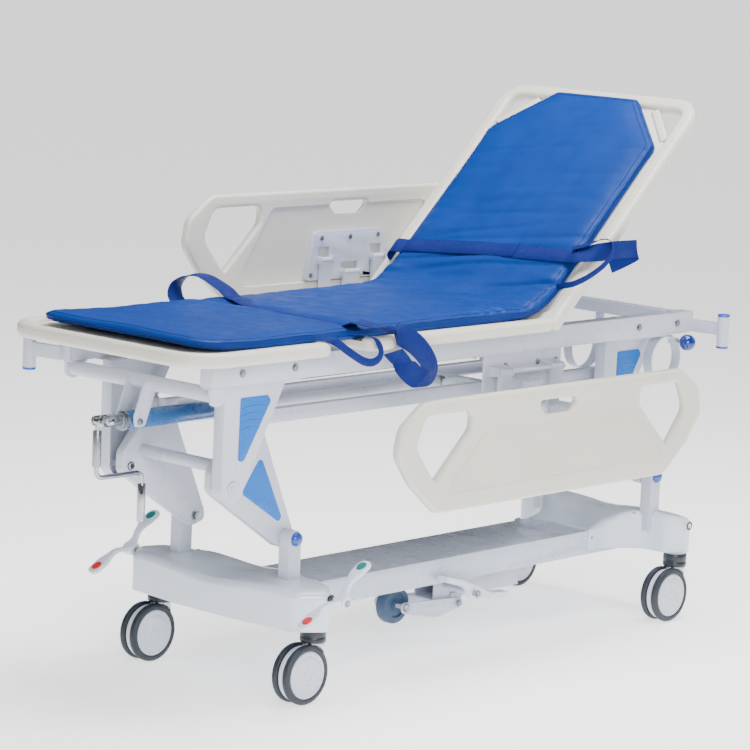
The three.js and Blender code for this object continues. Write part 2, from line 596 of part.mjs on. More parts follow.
// Moulded deck sections: a rim all round and a thin pan inside it.
function deck(points, openFrom, openTo) {
  const top = DECK_Z0 + DECK_T;
  const whole = slabZ(outline(points), DECK_Z0, top, 5);
  const inner = outline(inset(points, RIM_W));
  const under = slabZ(inner, DECK_Z0 - 5, PAN_Z);
  const over = slabZ(inner, PAN_Z + PAN_T, top + 5);
  const mouth = box(openFrom, openTo, -DECK_Y + RIM_W, DECK_Y - RIM_W, PAN_Z + PAN_T, top + 5);
  return cut(whole, under, over, mouth);
}
piece('leg_deck', deck([[LEG_FOOT, -DECK_Y, 110], [LEG_HEAD, -DECK_Y, 14], [LEG_HEAD, DECK_Y, 14],
  [LEG_FOOT, DECK_Y, 110]], LEG_HEAD - 60, LEG_HEAD + 5), SHELL);
const SPRING_Y = -60;         // line of the backrest's gas spring
const seatPan = deck([[SEAT_FOOT, -DECK_Y, 30], [SEAT_HEAD, -DECK_Y, 8], [SEAT_HEAD, DECK_Y, 8],
  [SEAT_FOOT, DECK_Y, 30]], SEAT_FOOT - 5, SEAT_HEAD + 5);
const leverRelief = box(SEAT_HEAD - 14, SEAT_HEAD + 5, SPRING_Y - 22, SPRING_Y + 22, DECK_Z0 - 5, DECK_Z0 + 16);
piece('seat_deck', cut(seatPan, leverRelief), SHELL);

// Cross tube under the seat with the lugs of the backrest hinge.
const LUG_Y = 150;
function seatCrossTube() {
  const tube = box(-20, 10, -TUBE_Y0 + FIT, TUBE_Y0 - FIT, 826, 862);
  const lugs = [-1, 1].map(side => {
    const shape = outline([[0, 830], [HINGE_X - 2, 830, 8], [HINGE_X + 9, 862, 10], [HINGE_X + 10, HINGE_Z + 10, 9],
      [HINGE_X - 10, HINGE_Z + 10, 9], [HINGE_X - 10, 864, 4], [0, 856]]);
    return slabY(shape, side > 0 ? LUG_Y : -LUG_Y - 6, side > 0 ? LUG_Y + 6 : -LUG_Y);
  });
  const bores = rodY(HINGE_X, HINGE_Z, -LUG_Y - 10, LUG_Y + 10, boreFor(7));
  return cut(join(tube, ...lugs), bores);
}
piece('seat_cross_tube', seatCrossTube(), FRAME_PAINT);

// Rail mounting plate below the side tube, with lugs for both arms and the middle link.
function railMount(side) {
  const y0 = 257;
  const face = outline([[RAIL_X - 150, TUBE_Z0 - FIT], [RAIL_X - 150, 706, 6], [RAIL_X + 140, 706, 10],
    [RAIL_X + 160, TUBE_Z0 - 30, 6], [RAIL_X + 160, TUBE_Z0 - FIT]]);
  const plate = slabY(face, side > 0 ? y0 : -y0 - 6, side > 0 ? y0 + 6 : -y0);
  const flange = box(RAIL_X - 150, RAIL_X + 160, side > 0 ? 228 : -y0 - 6, side > 0 ? y0 + 6 : -228,
    TUBE_Z0 - FIT - SHEET, TUBE_Z0 - FIT);
  const lug = (x, z) => slabX(outline([[side * (y0 + 2), z - 14], [side * (ARM_PIVOT_Y + 5), z - 10],
    [side * (ARM_PIVOT_Y + 11), z], [side * (ARM_PIVOT_Y + 5), z + 10], [side * (y0 + 2), z + 14]]), x - 2.5, x + 2.5);
  const lugs = [-ARM_X, ARM_X].flatMap(dx => [-24, 24].map(edge => lug(RAIL_X + dx + edge, ARM_PIVOT_Z)));
  const middle = [-35, 35].map(edge => lug(RAIL_X + edge, ARM_PIVOT_Z - LINK_DROP));
  const bore = rod([RAIL_X - 150, side * ARM_PIVOT_Y, ARM_PIVOT_Z], [RAIL_X + 150, side * ARM_PIVOT_Y, ARM_PIVOT_Z],
    boreFor(SHAFT_R));
  const middlePin = rod([RAIL_X - 39, side * ARM_PIVOT_Y, ARM_PIVOT_Z - LINK_DROP],
    [RAIL_X + 39, side * ARM_PIVOT_Y, ARM_PIVOT_Z - LINK_DROP], 4);
  return join(cut(join(plate, flange, ...lugs), bore), ...middle, middlePin);
}
piece('rail_mount_near', railMount(-1), FRAME_PAINT);
piece('rail_mount_far', railMount(1), FRAME_PAINT);

// Oxygen bottle holder: two strap rings with their axis across the trolley.
const OXY_X = 664;
const OXY_Z = 736;
const OXY_R = 66;
const KNOB_OUT = 47;          // clamp knob beside the ring's axis, both ways
function oxygenHolder() {
  const ring = y => turnedY([[OXY_R - SHEET, y - 15], [OXY_R, y - 15], [OXY_R, y + 15], [OXY_R - SHEET, y + 15],
    [OXY_R - SHEET, y - 15]], OXY_X, OXY_Z, 22);
  const bar = box(OXY_X - 4, OXY_X + 26, -250, 61, OXY_Z + OXY_R - 5, OXY_Z + OXY_R - 1);
  const tongue = box(OXY_X + 20, OXY_X + 75, 31, 61, OXY_Z + OXY_R - 5, OXY_Z + OXY_R - 1);
  const riser = box(OXY_X + 70, OXY_X + 75, 31, 61, OXY_Z + OXY_R - 5, 828 - FIT);
  const screw = rod([OXY_X + KNOB_OUT, -264, OXY_Z + KNOB_OUT], [OXY_X + KNOB_OUT, -235, OXY_Z + KNOB_OUT], 4);
  const lug = box(OXY_X + 39, OXY_X + 55, -250, -222, OXY_Z + 39, OXY_Z + 55);
  return join(ring(-235), ring(46), bar, tongue, riser, lug, screw);
}
piece('oxygen_holder', oxygenHolder(), FRAME_PAINT);
const knobBall = new THREE.SphereGeometry(23, 12, 6);
knobBall.translate(OXY_X + KNOB_OUT, -283, OXY_Z + KNOB_OUT);
piece('oxygen_knob', cut(solidOf(knobBall), rod([OXY_X + KNOB_OUT, -272, OXY_Z + KNOB_OUT],
  [OXY_X + KNOB_OUT, -250, OXY_Z + KNOB_OUT], boreFor(4))),
  [0x144ba5, 0.25, 0]);

// Corner posts at two opposite corners, each on an arm from the end of a side tube.
function cornerPost(tubeEnd, x, y, sx, sy) {
  const upright = rod([x, y, 772], [x, y, 866], 16, 14);
  const startX = tubeEnd + sx * 10;
  const startY = sy * (TUBE_Y1 - 14);
  const run = Math.hypot(x - startX, y - startY);
  const nx = -(y - startY) / run * 8;
  const ny = (x - startX) / run * 8;
  const arm = slabZ(outline([[startX + nx, startY + ny], [x + nx, y + ny], [x - nx, y - ny], [startX - nx, startY - ny]]),
    808, 842);
  const plate = box(Math.min(tubeEnd + sx * FIT, tubeEnd + sx * 6), Math.max(tubeEnd + sx * FIT, tubeEnd + sx * 6),
    Math.min(sy * TUBE_Y0, sy * TUBE_Y1), Math.max(sy * TUBE_Y0, sy * TUBE_Y1), TUBE_Z0, TUBE_Z1 - 2);
  return join(upright, arm, plate);
}
piece('corner_post_head_near', cornerPost(TUBE_HEAD, 775, -356, 1, -1), FRAME_PAINT);
piece('corner_post_foot_far', cornerPost(TUBE_FOOT, -1124, 356, -1, 1), FRAME_PAINT);

// Mattress over the leg and seat sections.
const PAD_Z = PAN_Z + PAN_T + 0.5;
piece('mattress_seat', slabZ(outline([[-1176, -PAD_Y, 70], [18, -PAD_Y, 12], [18, PAD_Y, 12], [-1176, PAD_Y, 70]]),
  PAD_Z, PAD_Z + PAD_T, 3), FABRIC);

// ---------------------------------------------------------------- backrest, drawn flat
const back = new THREE.Group();
back.position.set(HINGE_X, 0, HINGE_Z);
back.rotation.y = degrees(-BACK_ANGLE);
trolley.add(back);
const HALF_T = DECK_T / 2;

function backPanel() {
  const plan = [[-HALF_T, -BACK_Y, 10], [BACK_L, -BACK_Y, BACK_CORNER], [BACK_L, BACK_Y, BACK_CORNER], [-HALF_T, BACK_Y, 10]];
  const inner = inset(plan, BACK_RIM);
  inner[1][2] = 30;
  inner[2][2] = 30;
  const whole = slabZ(outline(plan), -HALF_T, HALF_T, 4);
  const pocket = outline(inner);
  const under = slabZ(pocket, -HALF_T - 5, -2);
  const over = slabZ(pocket, PAN_T - 2, HALF_T + 5);
  const nose = slabY(outline([[-HALF_T - 5, -HALF_T - 5], [0, -HALF_T - 5], [0, HALF_T + 5], [-HALF_T - 5, HALF_T + 5]]), -BACK_Y - 5, BACK_Y + 5)
    .subtract(rodY(0, 0, -BACK_Y - 10, BACK_Y + 10, HALF_T, 14));
  const grips = [-1, 1].map(side => slabZ(outline([[BACK_L - BACK_RIM, side * (BACK_Y - BACK_RIM), 28],
    [BACK_L - BACK_RIM - GRIP_U, side * (BACK_Y - BACK_RIM), 12],
    [BACK_L - BACK_RIM, side * (BACK_Y - BACK_RIM - GRIP_Y), 12]]), -30, 30));
  const groove = box(-11, BACK_RIM - HALF_T + 1, -LUG_Y - 65, LUG_Y + 65, -HALF_T - 5, 11);
  const notches = [-1, 1].map(side => box(-HALF_T - 5, 14, side * (LUG_Y + 3) - 9, side * (LUG_Y + 3) + 9, -HALF_T - 5, 13));
  const leverSlot = box(-HALF_T - 5, 60, -84, -36, -HALF_T - 5, 13);
  return cut(whole, under, over, nose, ...grips, groove, ...notches, leverSlot);
}
piece('back_panel', backPanel(), SHELL, back);

// Steel frame under the back panel: hinge tube, two rails, a cross bar and the spring lever.
const LEVER_R = 125;
function backFrame() {
  const hinge = rodY(0, 0, -LUG_Y - 58, LUG_Y + 58, 7);
  const rails = [-1, 1].map(side => box(4, 640, side * 95 - 10, side * 95 + 10, -HALF_T + 1, -2 - FIT));
  const bars = [300, 620].map(x => box(x, x + 20, -240, 240, -HALF_T + 1, -2 - FIT));
  const bearers = [-1, 1].map(side => box(-4, 8, side * 95 - 10, side * 95 + 10, -8, 5));
  const lean = degrees(BACK_ANGLE - 8);
  const end = [-LEVER_R * Math.sin(lean), -LEVER_R * Math.cos(lean)];
  const lever = outline([[-9, 5, 8], [8, 8, 8], [16, -14, 4], [end[0] + 11, end[1] + 4, 9], [end[0] + 3, end[1] - 12, 9],
    [end[0] - 11, end[1] - 2, 9]]);
  const levers = [SPRING_Y - 16, SPRING_Y + 10].map(y => slabY(lever, y, y + 6));
  return join(hinge, ...rails, ...bars, ...bearers, ...levers);
}
piece('back_frame', backFrame(), FRAME_PAINT, back);

// The pad lies in the panel's pocket, and its upper layer laps over the panel's top rim.
const backPadOutline = (shoulder, end) => outline([[30, -PAD_Y + 10, 12], [shoulder, -PAD_Y + 10, 14], [end, -142, 14],
  [end, 142, 14], [shoulder, PAD_Y - 10, 14], [30, PAD_Y - 10, 12]]);
const padTop = PAN_T - 1.5 + PAD_T;
const backPad = slabZ(backPadOutline(605, 756), PAN_T - 1.5, padTop, 3)
  .add(slabZ(backPadOutline(622, 780), HALF_T + FIT, padTop, 3));
piece('mattress_back', backPad.subtract(slabY(outline([[20, 50], [20, 4], [30, 4], [72, 50]]), -320, 320)), FABRIC, back);

// ---------------------------------------------------------------- gas spring of the backrest
const leverTilt = degrees(-8);
const SPRING_END_X = HINGE_X - LEVER_R * Math.sin(leverTilt);
const SPRING_END_Z = HINGE_Z - LEVER_R * Math.cos(leverTilt);
const SPRING_X = -600;
const SPRING_Z = 772;
const springAt = distance => {
  const span = Math.hypot(SPRING_END_X - SPRING_X, SPRING_END_Z - SPRING_Z);
  const t = distance / span;
  return [SPRING_X + (SPRING_END_X - SPRING_X) * t, SPRING_Y, SPRING_Z + (SPRING_END_Z - SPRING_Z) * t];
};
piece('gas_spring_cylinder', cut(join(rod(springAt(16), springAt(400), 13, 12), rodY(SPRING_X, SPRING_Z, SPRING_Y - 7, SPRING_Y + 7, 13),
  rod(springAt(4), springAt(20), 7)), rodY(SPRING_X, SPRING_Z, SPRING_Y - 12, SPRING_Y + 12, boreFor(6)),
  rod(springAt(60), springAt(405), 10, 12)), DARK);
piece('gas_spring_rod', join(rod(springAt(230), springAt(648), 5), rod(springAt(215), springAt(232), 9),
  rod(springAt(640), springAt(697), 7)), STEEL);

// Cross tube that anchors the gas spring.
function springCrossTube() {
  const tube = box(SPRING_X - 18, SPRING_X + 18, -TUBE_Y0 + FIT, TUBE_Y0 - FIT, 822, 858);
  const ears = [SPRING_Y - 15, SPRING_Y + 9].map(y => slabY(outline([[SPRING_X - 14, 825], [SPRING_X - 14, SPRING_Z - 12, 12],
    [SPRING_X + 14, SPRING_Z - 12, 12], [SPRING_X + 14, 825]]), y, y + 6));
  const pin = rodY(SPRING_X, SPRING_Z, SPRING_Y - 14, SPRING_Y + 14, 6);
  return join(tube, ...ears, pin);
}
piece('spring_cross_tube', springCrossTube(), FRAME_PAINT);

// ---------------------------------------------------------------- side rails
// Half of the rail's outline, from the top middle round the hand loop to the bottom middle.
const railHalf = [[520, 0, 64], [600, -58, 44], [616, -128, 44], [560, -204, 40], [462, -286, 40]];
const railOutline = outline([...railHalf, ...railHalf.map(([x, z, r]) => [-x, z, r]).reverse()]);
const railPlate = [[-138, -114, 14], [-172, -246, 14], [172, -246, 14], [138, -114, 14]];

function railPanel(side) {
  const at = (low, high) => side > 0 ? [low, high] : [-high, -low];
  const body = slabY(railOutline, ...at(372, 398), 3);
  const field = outline([[-600, -34, 8], [600, -34, 8], [440, -252, 8], [-440, -252, 8]]);
  const loop = dir => slabY(outline([[dir * 338, -36, 22], [dir * 512, -36, 34], [dir * 546, -112, 34],
    [dir * 470, -206, 10], [dir * 342, -84, 24]]), 360, 410, 2);
  const grip = outline([[-88, -36, 10], [88, -36, 10], [64, -70, 20], [-64, -70, 20]]);
  const core = outline([[-300, -42, 30], [300, -42, 30], [436, -250, 30], [-436, -250, 30]]);
  const recess = slabY(core, ...at(360, 379), 2);
  let rail = cut(body, recess);
  for (const dir of [-1, 1]) {
    const hole = loop(dir);
    rail = rail.subtract(side > 0 ? hole : hole.mirror([0, 1, 0]));
  }
  rail = rail.subtract(slabY(grip, ...at(360, 410), 2));
  return rail;
}

// Inner plate of the rail with the lugs for the arm ends.
function railBacking(side) {
  const at = (low, high) => side > 0 ? [low, high] : [-high, -low];
  const plate = slabY(outline(railPlate), ...at(366, 379 - FIT));
  const endZ = RAIL_PIVOT_DROP;
  const lug = (x, z) => box(x - 2.5, x + 2.5, side > 0 ? ARM_END_Y - 9 : -374, side > 0 ? 374 : 9 - ARM_END_Y, z - 10, z + 10);
  const lugs = [-ARM_X, ARM_X].flatMap(dx => [-24, 24].map(edge => lug(dx + edge, endZ)));
  const middle = [-35, 35].map(edge => lug(edge, endZ - LINK_DROP));
  const pins = [-ARM_X, ARM_X].map(dx => rod([dx - 28, side * ARM_END_Y, endZ], [dx + 28, side * ARM_END_Y, endZ], 4));
  const middlePin = rod([-39, side * ARM_END_Y, endZ - LINK_DROP], [39, side * ARM_END_Y, endZ - LINK_DROP], 4);
  const windows = [-ARM_X, ARM_X].map(dx => box(dx - 21.4, dx + 21.4, side > 0 ? 360 : -385, side > 0 ? 385 : -360, endZ - 10, endZ + 34));
  const middleWindow = box(-32.4, 32.4, side > 0 ? 360 : -385, side > 0 ? 385 : -360, endZ - LINK_DROP - 10, endZ - LINK_DROP + 26);
  return join(cut(plate, ...windows, middleWindow), ...lugs, ...middle, ...pins, middlePin);
}

// Arm drawn raised, in Y-Z from its frame pivot; it leans out past the deck and then stands up.
function armPlate(side, width, raised, shaft) {
  const reach = ARM_END_Y - ARM_PIVOT_Y;
  const rise = RAIL_RISE / 2;
  const t = ARM_T / 2;
  const shape = outline([[-t - 2, -6, 6], [5, -7, 5], [reach + 1 + t, 83, 12], [reach + 1 + t, 150], [reach + t, rise + 8, 4],
    [reach - t - 2, rise + 8, 5], [reach + 1 - t, 150], [reach + 1 - t, 88, 12], [-6, 4, 6]]);
  let arm = slabX(shape, -width / 2, width / 2, 2);
  arm = join(arm, rod([-width / 2, 0, 0], [width / 2, 0, 0], 8), rod([-width / 2, reach, rise], [width / 2, reach, rise], 8));
  arm = cut(arm, rod([-width, reach, rise], [width, reach, rise], boreFor(4)));
  if (!shaft) arm = cut(arm, rod([-width, 0, 0], [width, 0, 0], boreFor(4)));
  if (!raised) arm = arm.rotate([-2 * THREE.MathUtils.radToDeg(Math.atan2(rise, reach)), 0, 0]);
  return side > 0 ? arm : arm.mirror([0, 1, 0]);
}

for (const [flank, side, raised] of [['near', -1, false], ['far', 1, true]]) {
  const top = RAIL_TOP_LOW + (raised ? RAIL_RISE : 0);
  const rail = new THREE.Group();
  rail.position.set(RAIL_X, 0, top);
  trolley.add(rail);
  piece(`rail_panel_${flank}`, railPanel(side), SHELL, rail);
  piece(`rail_backing_${flank}`, railBacking(side), FRAME_PAINT, rail);
  const pivot = new THREE.Group();
  pivot.position.set(RAIL_X, side * ARM_PIVOT_Y, ARM_PIVOT_Z);
  trolley.add(pivot);
  const arms = [-ARM_X, ARM_X].map(dx => armPlate(side, 42, raised, true).translate([dx, 0, 0]));
  const shaft = rod([-ARM_X - 30, 0, 0], [ARM_X + 30, 0, 0], SHAFT_R);
  piece(`rail_arms_${flank}`, join(shaft, ...arms), FRAME_PAINT, pivot);
  const middle = new THREE.Group();
  middle.position.set(RAIL_X, side * ARM_PIVOT_Y, ARM_PIVOT_Z - LINK_DROP);
  trolley.add(middle);
  piece(`rail_link_${flank}`, armPlate(side, 63, raised, false), FRAME_PAINT, middle);
}

export default trolley;
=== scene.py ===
import json
import math
import bmesh
import bpy
from mathutils import Matrix, Vector, noise
from mathutils.bvhtree import BVHTree
from mathutils.geometry import delaunay_2d_cdt

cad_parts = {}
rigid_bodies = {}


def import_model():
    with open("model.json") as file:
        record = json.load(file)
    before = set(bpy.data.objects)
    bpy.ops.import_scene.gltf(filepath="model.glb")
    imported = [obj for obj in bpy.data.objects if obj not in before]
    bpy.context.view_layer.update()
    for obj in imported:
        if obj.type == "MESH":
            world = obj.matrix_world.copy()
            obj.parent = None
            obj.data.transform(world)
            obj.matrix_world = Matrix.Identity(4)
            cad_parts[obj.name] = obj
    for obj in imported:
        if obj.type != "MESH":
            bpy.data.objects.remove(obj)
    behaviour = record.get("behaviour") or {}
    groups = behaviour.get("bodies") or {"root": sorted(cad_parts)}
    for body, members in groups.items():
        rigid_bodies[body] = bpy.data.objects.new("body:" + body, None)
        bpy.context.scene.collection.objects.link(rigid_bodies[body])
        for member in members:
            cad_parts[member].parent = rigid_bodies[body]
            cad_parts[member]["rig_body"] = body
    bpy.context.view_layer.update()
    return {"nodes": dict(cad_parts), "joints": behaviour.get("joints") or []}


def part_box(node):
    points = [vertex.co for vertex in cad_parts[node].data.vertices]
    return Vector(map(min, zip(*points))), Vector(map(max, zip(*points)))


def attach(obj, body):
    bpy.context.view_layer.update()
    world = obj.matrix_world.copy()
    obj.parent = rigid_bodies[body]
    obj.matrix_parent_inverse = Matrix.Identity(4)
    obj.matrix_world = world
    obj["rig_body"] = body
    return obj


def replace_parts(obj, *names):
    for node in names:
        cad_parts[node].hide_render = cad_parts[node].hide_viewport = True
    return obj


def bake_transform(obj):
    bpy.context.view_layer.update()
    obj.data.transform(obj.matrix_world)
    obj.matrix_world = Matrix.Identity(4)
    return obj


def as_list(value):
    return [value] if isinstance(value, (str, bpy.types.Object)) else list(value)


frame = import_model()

MM = 0.001
FINE_WELD = 1e-7
JOINT = {j["name"]: Vector(j["pos_m"]) for j in frame["joints"] if "pos_m" in j}
B_FOOT = JOINT["lift"]
A_FOOT = JOINT["frame_level"]
C_FOOT = JOINT["link_level"]
HEAD_SET = JOINT["head_rocker_swing"] - B_FOOT     # from the foot end's linkage to the head end's
SIDES = {"near": -1, "far": 1}


# ---------------------------------------------------------------- materials
def linear(value):
    return value / 12.92 if value <= 0.04045 else ((value + 0.055) / 1.055) ** 2.4


def colour(r, g, b):
    return (linear(r / 255), linear(g / 255), linear(b / 255), 1.0)


def material(name, base, rough, metal=0.0, vary=0.03, patch=6.0, grain=0.0, grain_scale=900.0, wear=0.0,
        coat=0.0, weave=0.0, brushed=0.0, dirt=0.0, gloss=0.5):
    """Procedural finish: base colour with soft patches, uneven roughness and a fine surface texture."""
    mat = bpy.data.materials.new(name)
    mat.use_nodes = True
    tree = mat.node_tree
    bsdf = tree.nodes["Principled BSDF"]
    bsdf.inputs["Metallic"].default_value = metal
    bsdf.inputs["Coat Weight"].default_value = coat
    bsdf.inputs["Coat Roughness"].default_value = 0.12
    bsdf.inputs["Specular IOR Level"].default_value = gloss
    new, link = tree.nodes.new, tree.links.new
    coord = new("ShaderNodeTexCoord")

    def noise_node(scale, detail=4.0, stretch=None):
        node = new("ShaderNodeTexNoise")
        node.inputs["Scale"].default_value = scale
        node.inputs["Detail"].default_value = detail
        if stretch:
            mapping = new("ShaderNodeMapping")
            mapping.inputs["Scale"].default_value = stretch
            link(coord.outputs["Object"], mapping.inputs["Vector"])
            link(mapping.outputs["Vector"], node.inputs["Vector"])
        else:
            link(coord.outputs["Object"], node.inputs["Vector"])
        return node

    def ramp(source, low, high, at=(0.35, 0.65)):
        node = new("ShaderNodeMapRange")
        node.inputs["From Min"].default_value = at[0]
        node.inputs["From Max"].default_value = at[1]
        node.inputs["To Min"].default_value = low
        node.inputs["To Max"].default_value = high
        link(source, node.inputs["Value"])
        return node.outputs["Result"]

    soft = noise_node(patch, 5.0)
    mix = new("ShaderNodeMix")
    mix.data_type = "RGBA"
    light = [min(1.0, c * (1 + vary)) for c in base[:3]] + [1.0]
    dark = [c * (1 - vary) for c in base[:3]] + [1.0]
    mix.inputs[6].default_value = dark
    mix.inputs[7].default_value = light
    link(ramp(soft.outputs["Fac"], 0.0, 1.0), mix.inputs[0])
    shade = mix.outputs[2]
    if wear or dirt:
        marks = noise_node(patch * 9, 8.0)
        worn = new("ShaderNodeMix")
        worn.data_type = "RGBA"
        worn.inputs[7].default_value = [c * 0.62 for c in base[:3]] + [1.0]
        link(ramp(marks.outputs["Fac"], 0.0, wear + dirt, (0.6, 0.8)), worn.inputs[0])
        link(shade, worn.inputs[6])
        shade = worn.outputs[2]
    link(shade, bsdf.inputs["Base Color"])
    smear = noise_node(patch * 4, 6.0)
    link(ramp(smear.outputs["Fac"], max(0.03, rough - 0.07), rough + 0.08), bsdf.inputs["Roughness"])
    height = None
    if weave:
        heights = []
        for direction in ("X", "Y"):
            wave = new("ShaderNodeTexWave")
            wave.bands_direction = direction
            wave.inputs["Scale"].default_value = weave
            wave.inputs["Distortion"].default_value = 0.4
            link(coord.outputs["Object"], wave.inputs["Vector"])
            heights.append(wave.outputs["Fac"])
        add = new("ShaderNodeMath")
        add.operation = "ADD"
        link(heights[0], add.inputs[0])
        link(heights[1], add.inputs[1])
        height = add.outputs[0]
    elif brushed:
        height = noise_node(brushed, 3.0, (1.0, 1.0, 40.0)).outputs["Fac"]
    elif grain:
        height = noise_node(grain_scale, 2.0).outputs["Fac"]
    if height is not None:
        bump = new("ShaderNodeBump")
        bump.inputs["Strength"].default_value = grain or 0.12
        bump.inputs["Distance"].default_value = 0.0006
        link(height, bump.inputs["Height"])
        link(bump.outputs["Normal"], bsdf.inputs["Normal"])
    return mat


PAINT = material("frame_paint", colour(190, 195, 209), 0.34, vary=0.02, grain=0.06, grain_scale=420,
    wear=0.02, coat=0.25)
TRAY = material("tray_paint", colour(190, 198, 214), 0.28, vary=0.02, patch=3, grain=0.05,
    grain_scale=380, coat=0.3)
COVER = material("cover_shell", colour(216, 225, 238), 0.18, vary=0.015, grain=0.02, grain_scale=200,
    coat=0.5)
SHELL = material("white_shell", colour(214, 214, 208), 0.38, vary=0.02, grain=0.10, grain_scale=700,
    wear=0.04)
RAIL = material("rail_shell", colour(209, 207, 196), 0.36, vary=0.02, grain=0.10, grain_scale=700,
    wear=0.05)
STEEL = material("steel", colour(150, 154, 160), 0.28, 1.0, vary=0.06, patch=30, brushed=160)
CHROME = material("chrome", colour(168, 171, 176), 0.10, 1.0, vary=0.05, patch=40, grain=0.04,
    grain_scale=300)
TYRE = material("tyre", colour(34, 42, 51), 0.5, vary=0.08, patch=25, grain=0.3, grain_scale=1200,
    dirt=0.3)
DARK = material("dark_collar", colour(30, 38, 48), 0.36, vary=0.06, grain=0.1, patch=20)
HUB = material("hub_cover", colour(196, 202, 213), 0.30, vary=0.02, grain=0.05, patch=14, coat=0.3)
HOOD = material("caster_hood", colour(222, 227, 236), 0.26, vary=0.015, grain=0.03, patch=12, coat=0.3)
INSERT = material("blue_insert", colour(0, 104, 192), 0.32, vary=0.03, grain=0.05, grain_scale=500,
    gloss=0.3)
CAP = material("blue_cap", colour(22, 70, 168), 0.24, vary=0.03, grain=0.03, coat=0.5)
KNOB = material("knob_blue", colour(4, 40, 134), 0.16, vary=0.03, grain=0.03, coat=0.6)
JACK = material("jack_blue", colour(44, 96, 156), 0.26, 0.1, vary=0.03, grain=0.05, coat=0.4)
BLACK = material("gas_black", colour(26, 27, 30), 0.24, vary=0.08, grain=0.03, coat=0.4)
RED = material("pad_red", colour(214, 22, 46), 0.35, vary=0.04, grain=0.08)
GREEN = material("pad_green", colour(0, 118, 112), 0.35, vary=0.04, grain=0.08)
NYLON = material("mattress_fabric", colour(0, 50, 126), 0.5, vary=0.06, patch=5, grain=0.16, weave=260,
    gloss=0.16)
WELT = material("mattress_welt", colour(2, 40, 116), 0.5, vary=0.06, patch=9, grain=0.2, weave=300,
    gloss=0.16)
BELT = material("belt_webbing", colour(2, 28, 104), 0.55, vary=0.06, patch=20, grain=0.35, weave=420,
    gloss=0.16)
WHEEL_BLUE = material("fifth_tread", colour(52, 76, 102), 0.5, vary=0.07, patch=20, grain=0.2, dirt=0.2)
WHITE_FLOOR = material("studio_floor", colour(252, 252, 252), 0.85, vary=0.004, patch=2)
FLOOR_GLOW = 1.25                 # lifts the floor towards the photo's white
GLOW = WHITE_FLOOR.node_tree.nodes["Principled BSDF"]
GLOW.inputs["Emission Color"].default_value = (1, 1, 1, 1)
GLOW.inputs["Emission Strength"].default_value = FLOOR_GLOW


# ---------------------------------------------------------------- shape helpers
def finish_mesh(obj, mat, body, sharp=35):
    """One finish, smooth shading with edges sharper than this angle kept, and the body it rides on."""
    obj.data.materials.clear()
    obj.data.materials.append(mat)
    obj.data.shade_smooth()
    obj.data.set_sharp_from_angle(angle=math.radians(sharp))
    if body:
        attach(obj, body)
    return obj


def placed(name, data):
    """A new object of this data, in the scene."""
    obj = bpy.data.objects.new(name, data)
    bpy.context.scene.collection.objects.link(obj)
    return obj


def bake(obj):
    """Turns an object with modifiers, or a curve, into a plain mesh object of the same name."""
    bpy.context.view_layer.update()
    graph = bpy.context.evaluated_depsgraph_get()
    mesh = bpy.data.meshes.new_from_object(obj.evaluated_get(graph))
    name, matrix = obj.name, obj.matrix_world.copy()
    bpy.data.objects.remove(obj)
    new = placed(name, mesh)
    new.name = name
    mesh.transform(matrix)
    return new


def from_data(name, verts, faces):
    """Mesh object of these points and faces."""
    mesh = bpy.data.meshes.new(name)
    mesh.from_pydata([tuple(v) for v in verts], [], faces)
    mesh.validate()
    return placed(name, mesh)


def tidy(obj, weld=1e-5):
    """Welds points closer than weld and turns all faces outwards."""
    work = bmesh.new()
    work.from_mesh(obj.data)
    bmesh.ops.remove_doubles(work, verts=work.verts, dist=weld)
    bmesh.ops.recalc_face_normals(work, faces=work.faces)
    work.to_mesh(obj.data)
    work.free()
    return obj


def bevelled(obj, width, segments=3, angle=32):
    mod = obj.modifiers.new("bevel", "BEVEL")
    mod.width = width
    mod.segments = segments
    mod.limit_method = "ANGLE"
    mod.angle_limit = math.radians(angle)
    mod.harden_normals = False
    return bake(obj)


def carve(obj, knife):
    """Cuts the knife's shape out of obj, and removes the knife."""
    mod = obj.modifiers.new("cut", "BOOLEAN")
    mod.object = knife
    mod.operation = "DIFFERENCE"
    mod.solver = "MANIFOLD"
    obj = bake(obj)
    bpy.data.objects.remove(knife)
    return obj


def arc_corners(points, radius=0.0, steps=7):
    """Outline points (a, b) or (a, b, radius) with each corner rounded by an arc."""
    out = []
    n = len(points)
    for i, p in enumerate(points):
        here = Vector(p[:2])
        back = Vector(points[i - 1][:2]) - here
        ahead = Vector(points[(i + 1) % n][:2]) - here
        r = p[2] if len(p) > 2 else radius
        if r <= 0:
            out.append(here)
            continue
        half = back.angle(ahead) / 2
        reach = min(r / math.tan(half), 0.48 * back.length, 0.48 * ahead.length)
        r = reach * math.tan(half)
        u, v = back.normalized(), ahead.normalized()
        centre = here + (u + v).normalized() * (r / math.sin(half))
        a, b = here + u * reach - centre, here + v * reach - centre
        turn = a.angle_signed(b)
        for k in range(steps + 1):
            t = -turn * k / steps
            out.append(centre + Matrix.Rotation(t, 2) @ a)
    return out


def oval(a, b, sides):
    """Closed section with half widths a and b."""
    return [(a * math.cos(2 * math.pi * k / sides), b * math.sin(2 * math.pi * k / sides))
        for k in range(sides)]


def wall_faces(rings, n):
    """Faces that join successive rings of n points."""
    return [(i * n + k, i * n + (k + 1) % n, (i + 1) * n + (k + 1) % n, (i + 1) * n + k)
        for i in range(rings - 1) for k in range(n)]


def bar_faces(rings, n):
    """The same, closed at both ends."""
    return wall_faces(rings, n) + [tuple(range(n)), tuple((rings - 1) * n + k
        for k in reversed(range(n)))]


